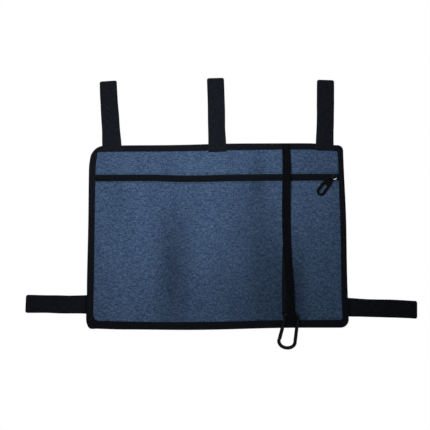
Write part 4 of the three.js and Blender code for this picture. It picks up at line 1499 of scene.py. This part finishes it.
class MakeKeyStrap(bpy.types.Operator):
    """Makes the key strap, folded and sewn round the carabiner's top"""

    bl_idname = "walker_bag.key_strap"
    bl_label = "Key strap"

    def execute(self, context):
        strap = settings().strap
        tilt = settings().carabiner.tilt
        hook_wire = settings().carabiner.wire
        hold = Vector(joints["carabiner_swing"]["pos_m"])
        tab_low, tab_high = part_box("key_strap_tab")
        hang_low, hang_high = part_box("key_strap_lower")
        half = (tab_high.x - tab_low.x) / 2
        thickness = tab_high.y - tab_low.y
        top_x = (tab_low.x + tab_high.x) / 2
        tab_depth = (tab_low.y + tab_high.y) / 2
        hang_depth = (hang_low.y + hang_high.y) / 2
        slope_top, slope_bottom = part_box("key_strap_upper")[1].z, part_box("key_strap_upper")[0].z
        lean = Matrix.Rotation(tilt, 3, "Y")
        wall = hold.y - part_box("key_strap_loop")[0].y - thickness / 2
        loop_turn = wall - strap.key_loop_drop
        split = strap.key_split
        lap_top = split + strap.key_lap
        tail_top = lap_top + strap.key_tail

        def middle_at(z):
            """Middle of the hanging strap at a height."""
            drift = hold.x - strap.key_offset - top_x
            x = top_x + drift * smooth_step(strap.key_drift_start, strap.key_drift_end, z)
            x -= strap.key_bow * hump(z, strap.key_bow_z, strap.key_bow_reach)
            y = tab_depth + (hang_depth - tab_depth) * smooth_step(slope_top, slope_bottom, z)
            return Vector((x, y, z))

        def across_at(z):
            """Direction across the hanging strap at a height, which turns to the carabiner's tilt."""
            turn = tilt * smooth_step(hold.z + strap.key_lean_rise, hold.z + split, z)
            return Vector((math.cos(turn), 0, -math.sin(turn)))

        line = []
        for z in spaced(-tab_high.z, -(hold.z + split), 2 * MM):
            line.append((middle_at(-z), across_at(-z), 0.0))
        leaned = lean @ RIGHT
        walls = spaced(loop_turn, -1 * MM, 2 * MM)
        closing = wall - thickness
        teardrop = [
            *[(-wall * smooth_step(split, 1 * MM, v), v) for v in spaced(0.0, 5 * MM, 1 * MM)[::-1]],
            *[(-wall, v) for v in walls[::-1]],
            *arc(0, loop_turn, wall, wall, 180, 360, 12)[1:-1],
            *[(wall, v) for v in walls],
            *[(wall - closing * smooth_step(0.0, split, v), v) for v in spaced(0.0, tail_top, 2 * MM)],
        ]
        for y, v in teardrop:
            aside = strap.key_offset * smooth_step(-hook_wire, split, v)
            point = hold + lean @ Vector((-aside, y, v))
            above = smooth_step(-hook_wire, 0.0, v)
            # Behind the strap the folded end lies out to the left and is made paler: the strip of it that
            # shows is a painted shadow of the strap on the cloth.
            if y > 0:
                slant = strap.key_tail_shadow_slant * smooth_step(tail_top, lap_top, v)
                straight = top_x - strap.key_tail_shadow_aside - slant
                point.x = point.x + (straight - point.x) * above
            upright = y > 0 and v > 0
            pale = strap.key_tail_shadow_paleness if upright else 0.0
            line.append((point, RIGHT if upright else leaned, -pale))
        points = [point for point, _, _ in line]
        lengths = running_lengths(points)
        sections = []
        shades = []
        for i, (point, across, shade) in enumerate(line):
            ahead = (points[min(i + 1, len(points) - 1)] - points[max(i - 1, 0)]).normalized()
            normal = across.cross(ahead).normalized()
            width = half + strap.key_spread + 0.3 * strap.sway * wander(lengths[i], 30 * MM, 31.0)
            profile = band_profile(width, -thickness / 2, thickness / 2, 0.6 * MM, 8)
            sections.append([point + across * a + normal * depth for a, depth in profile])
            shades += [shade] * len(profile)
        finish = black_weave("key_strap_weave", strap.narrow_webbing, 0.7 * MM, 0.9 * MM)
        piece = add_piece("key_strap_webbing", loft(Skin(), sections, lengths), finish)
        tone = piece.data.attributes.new(PAINTED_SHADE, "FLOAT", "POINT")
        tone.data.foreach_set("value", shades)
        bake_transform(piece)
        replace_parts(piece, "key_strap_tab", "key_strap_upper", "key_strap_lower", "key_strap_loop")
        self.seams(half, hold.z + split, middle_at, across_at, tab_low, tab_high)
        return {"FINISHED"}

    def seams(self, half, lap_bottom, middle_at, across_at, tab_low, tab_high):
        """Stitches that hold the strap's top, and its two layers above the loop."""
        inset = 1.8 * MM
        half_lap = settings().strap.key_lap / 2
        tab = Skin()
        centre = Vector(((tab_low.x + tab_high.x) / 2, tab_low.y, (tab_low.z + tab_high.z) / 2 + 1 * MM))
        sew_box(tab, centre, RIGHT, UP, half - inset, 2.6 * MM, FRONT, crossed=True)
        add_stitches("key_strap_tab_seams", tab, BAG)
        end = Skin()
        height = lap_bottom + half_lap
        across = across_at(height)
        along = Vector((-across.z, 0, across.x))
        face = middle_at(height) + Vector((0, -(tab_high.y - tab_low.y) / 2, 0))
        sew_box(end, face, across, along, half - inset, half_lap - inset, FRONT, crossed=True)
        add_stitches("key_strap_end_seams", end, "key_strap")


# Carabiner


class MakeCarabiner(bpy.types.Operator):
    """Makes the carabiner's wire, its gate, pin and spring"""

    bl_idname = "walker_bag.carabiner"
    bl_label = "Carabiner"

    def execute(self, context):
        hook = settings().carabiner
        metal = black_metal()
        self.wire(hook, metal)
        self.gate(hook, metal)
        bevelled_copy("gate_pin_rivet", "gate_pin", metal, "carabiner", hook.bevel)
        self.spring()
        return {"FINISHED"}

    def wire(self, hook, metal):
        """The bent wire, from the flat tang at the gate's pin over the top and round to the nose."""

        def at(x, z):
            return Vector((x, 0, z))

        side = hook.top_width / 2
        corner = hook.corner
        bottom = -hook.height
        turn = bottom + hook.bottom_depth
        middle = side - hook.bottom_width / 2
        far = side - hook.bottom_width
        roundness = 0.5523
        pull = hook.bottom_width / 2 * roundness
        drop = hook.bottom_depth * (1 - roundness)
        nose = self.nose(hook)
        path = [at(-side, -hook.hinge_drop - hook.wire / 2), at(-side, -hook.hinge_drop)]
        path += [at(-side, z) for z in (-5.4 * MM, -4.2 * MM, -corner)]
        path += bezier([at(-side, -corner), at(-side, 0), at(-side + corner, 0)], 6)
        path += bezier([at(-side + corner, 0), at(0, 0), at(side - corner, 0)], 8)
        path += bezier([at(side - corner, 0), at(side, 0), at(side, -corner)], 6)
        path += bezier([at(side, -corner), at(side, (turn - corner) / 2), at(side, turn)], 12)
        low = at(middle, bottom)
        path += bezier([at(side, turn), at(side, bottom + drop), at(middle + pull, bottom), low], 14)
        path += bezier([low, at(middle - pull, bottom), at(far, bottom + drop), at(far, turn)], 14)
        path += bezier([at(far, turn), at(far, turn).lerp(nose, 0.5), nose], 3)
        radius = hook.wire / 2
        radii = [(radius * 0.5, hook.tang / 2), (radius, hook.tang / 2), (radius, hook.tang / 2)]
        radii += [(radius, radius * 0.8)]
        radii += [(radius, radius)] * (len(path) - len(radii) - 1)
        radii += [(radius * 0.86, radius * 0.86)]
        centre = Vector(joints["carabiner_swing"]["pos_m"])
        lean = Matrix.Rotation(hook.tilt, 3, "Y")
        placed = [centre + lean @ point for point in path]
        skin = tube(Skin(), placed, radii, 18, BACK)
        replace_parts(add_piece("carabiner_wire", skin, metal, "carabiner"), "carabiner_body")

    def nose(self, hook):
        """End of the wire at the gate, below and beside the middle of the carabiner's top."""
        side = hook.top_width / 2
        far = side - hook.bottom_width
        turn = hook.bottom_depth - hook.height
        share_up = (-hook.nose_drop - turn) / (-hook.hinge_drop - turn)
        return Vector((far + (-side - far) * share_up, 0, -hook.nose_drop))

    def gate(self, hook, metal):
        """The gate, which widens below the strap's loop and reaches nearer to the nose."""
        pivot = Vector(joints["carabiner_gate_swing"]["pos_m"])
        hinge = Vector((-hook.top_width / 2, 0, -hook.hinge_drop))
        along = Matrix.Rotation(hook.tilt, 3, "Y") @ (self.nose(hook) - hinge).normalized()
        inward = Vector((-along.z, 0, along.x))

        def widened(point):
            arm = point - pivot
            reach = arm.dot(along)
            wide = smooth_step(hook.gate_slim, hook.gate_slim + hook.gate_taper, reach)
            moved = inward * (arm.dot(inward) * hook.gate_spread + hook.gate_shift) + along * hook.gate_reach
            moved.y = arm.y * hook.gate_spread
            return point + moved * wide

        cuts = [(pivot + along * (hook.gate_slim + hook.gate_taper * i / 4), along) for i in range(5)]
        name = "carabiner_gate"
        bevelled_copy("carabiner_gate_bar", name, metal, name, hook.bevel, widened, cuts)

    def spring(self):
        """A small coil between the gate's cheeks."""
        low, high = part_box("gate_spring")
        centre = (low + high) / 2
        swing = Vector(joints["carabiner_gate_swing"]["pos_m"])
        down = (centre - swing).normalized()
        side = BACK
        other = down.cross(side)
        half = half_span("gate_spring", down)
        wire = 0.18 * MM
        radius = (high.y - low.y) / 2 - wire
        turns = 5
        per_turn = 12
        path = []
        for step in range(turns * per_turn + 1):
            turn = 2 * math.pi * step / per_turn
            along = -half + wire + 2 * (half - wire) * step / (turns * per_turn)
            point = centre + down * along + side * (radius * math.cos(turn))
            path.append(point + other * (radius * math.sin(turn)))
        skin = tube(Skin(), path, [(wire, wire)] * len(path), 6, down)
        piece = add_piece("gate_spring_coil", skin, bail_metal(), "carabiner_gate")
        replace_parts(piece, "gate_spring")


# Stage


class MakeStage(bpy.types.Operator):
    """Makes the camera, the lamps, the room's light and the floor"""

    bl_idname = "walker_bag.stage"
    bl_label = "Stage"

    def execute(self, context):
        stage = settings().stage
        context.scene.view_settings.view_transform = "Standard"
        self.camera(context, stage)
        key_place = Vector((stage.key_x, -stage.key_y, stage.key_z))
        key_aim = Vector((stage.key_aim_x, 0, stage.key_aim_z))
        self.lamp("key_lamp", key_place, key_aim, stage.key_size, stage.key_power)
        middle = (cad_box[0] + cad_box[1]) / 2
        fill_place = Vector((0.7, 1.0, 0.4))
        self.lamp("back_lamp", fill_place, middle, stage.fill_size, stage.fill_power)
        top_place = Vector((0, 0.15, 0.9))
        top_aim = Vector((0, 0.1, -stage.floor_drop))
        self.lamp("top_lamp", top_place, top_aim, stage.top_size, stage.top_power)
        self.room(context, stage)
        self.floor(stage)
        return {"FINISHED"}

    def camera(self, context, stage):
        data = bpy.data.cameras.new("photo_camera")
        data.lens = stage.lens
        data.sensor_width = 36
        camera = bpy.data.objects.new("photo_camera", data)
        context.scene.collection.objects.link(camera)
        back = Vector((0, -math.cos(stage.elevation), math.sin(stage.elevation)))
        camera.location = Vector((stage.aim_x, 0, stage.aim_z)) + back * stage.distance
        camera.rotation_mode = "QUATERNION"
        camera.rotation_quaternion = (-back).to_track_quat("-Z", "Y") @ Quaternion((0, 0, 1), stage.roll)
        context.scene.camera = camera

    def lamp(self, name, place, aim, size, power):
        """A soft square lamp that faces a point and isn't seen itself."""
        data = bpy.data.lights.new(name, "AREA")
        data.size = size
        data.energy = power
        lamp = bpy.data.objects.new(name, data)
        bpy.context.scene.collection.objects.link(lamp)
        lamp.location = place
        lamp.visible_camera = False
        lamp.rotation_mode = "QUATERNION"
        lamp.rotation_quaternion = (aim - place).to_track_quat("-Z", "Y")

    def seen(self, tree):
        """One for rays that see the background straight on, in a gloss or through glass."""
        path = tree.add("ShaderNodeLightPath").outputs
        gloss = tree.math("MAXIMUM", path["Is Glossy Ray"], path["Is Transmission Ray"])
        return tree.math("MAXIMUM", path["Is Camera Ray"], gloss)

    def room(self, context, stage):
        world = bpy.data.worlds.new("white_room")
        context.scene.world = world
        world.use_nodes = True
        tree = NodeTree(world.node_tree)
        soft = world.node_tree.nodes["Background"]
        soft.inputs["Color"].default_value = (1, 1, 1, 1)
        soft.inputs["Strength"].default_value = stage.room_light
        white = tree.add("ShaderNodeBackground")
        white.inputs["Color"].default_value = (1, 1, 1, 1)
        chosen = tree.add("ShaderNodeMixShader")
        tree.link(self.seen(tree), chosen.inputs[0])
        tree.link(soft.outputs[0], chosen.inputs[1])
        tree.link(white.outputs[0], chosen.inputs[2])
        tree.link(chosen.outputs[0], world.node_tree.nodes["World Output"].inputs["Surface"])

    def floor(self, stage):
        """A pale floor that keeps the bag's shadow and fades into the white room."""
        reach = 12
        mesh = bpy.data.meshes.new("floor")
        corners = [(-reach, -reach), (reach, -reach), (reach, reach), (-reach, reach)]
        mesh.from_pydata([(x, y, -stage.floor_drop) for x, y in corners], [], [(0, 1, 2, 3)])
        floor = bpy.data.objects.new("floor", mesh)
        bpy.context.scene.collection.objects.link(floor)
        material = bpy.data.materials.new("pale_floor")
        material.use_nodes = True
        tree = NodeTree(material.node_tree)
        shader = material.node_tree.nodes["Principled BSDF"]
        shader.inputs["Base Color"].default_value = stage.floor
        shader.inputs["Roughness"].default_value = 0.9
        glow = tree.add("ShaderNodeEmission")
        place = tree.add("ShaderNodeTexCoord").outputs["Object"]
        flat = tree.apart(place)
        squares = [tree.math("POWER", flat[i], 2.0) for i in (0, 1)]
        far = tree.math("SQRT", tree.math("ADD", *squares))
        fade_start, fade_end, near_fade = 0.3, 1.1, 0.66
        faded = tree.remap(far, fade_start, fade_end, near_fade, 1.0)
        fade = tree.math("MULTIPLY", faded, self.seen(tree))
        chosen = tree.add("ShaderNodeMixShader")
        tree.link(fade, chosen.inputs[0])
        tree.link(shader.outputs[0], chosen.inputs[1])
        tree.link(glow.outputs[0], chosen.inputs[2])
        tree.link(chosen.outputs[0], material.node_tree.nodes["Material Output"].inputs["Surface"])
        mesh.materials.append(material)


# Sidebar and running order

OPERATORS = (
    MakeStage,
    MakePanels,
    MakeEdgeTape,
    MakeZip,
    MakeSlider,
    MakeStraps,
    MakeKeyStrap,
    MakeCarabiner,
)


class BagPanel(bpy.types.Panel):
    """Lists the pieces of the walker bag and their settings"""

    bl_idname = "VIEW3D_PT_walker_bag"
    bl_label = "Walker storage bag"
    bl_space_type = "VIEW_3D"
    bl_region_type = "UI"
    bl_category = "Walker bag"

    def draw(self, context):
        for operator in OPERATORS:
            self.layout.operator(operator.bl_idname)
        for group in ("cloth", "tape", "strap", "zip", "carabiner", "stage"):
            box = self.layout.box()
            box.label(text=group.capitalize())
            values = getattr(settings(), group)
            for name in values.__annotations__:
                box.prop(values, name)


CLASSES = (
    ClothSettings,
    TapeSettings,
    StrapSettings,
    ZipSettings,
    CarabinerSettings,
    StageSettings,
    BagSettings,
    *OPERATORS,
    BagPanel,
)


def register():
    for cls in CLASSES:
        bpy.utils.register_class(cls)
    bpy.types.Scene.walker_bag = bpy.props.PointerProperty(type=BagSettings)


def unregister():
    del bpy.types.Scene.walker_bag
    for cls in reversed(CLASSES):
        bpy.utils.unregister_class(cls)


def main():
    register()
    make = bpy.ops.walker_bag
    make.stage()
    make.panels()
    make.edge_tape()
    make.zip()
    make.slider()
    make.straps()
    make.key_strap()
    make.carabiner()


if __name__ == "__main__":
    main()
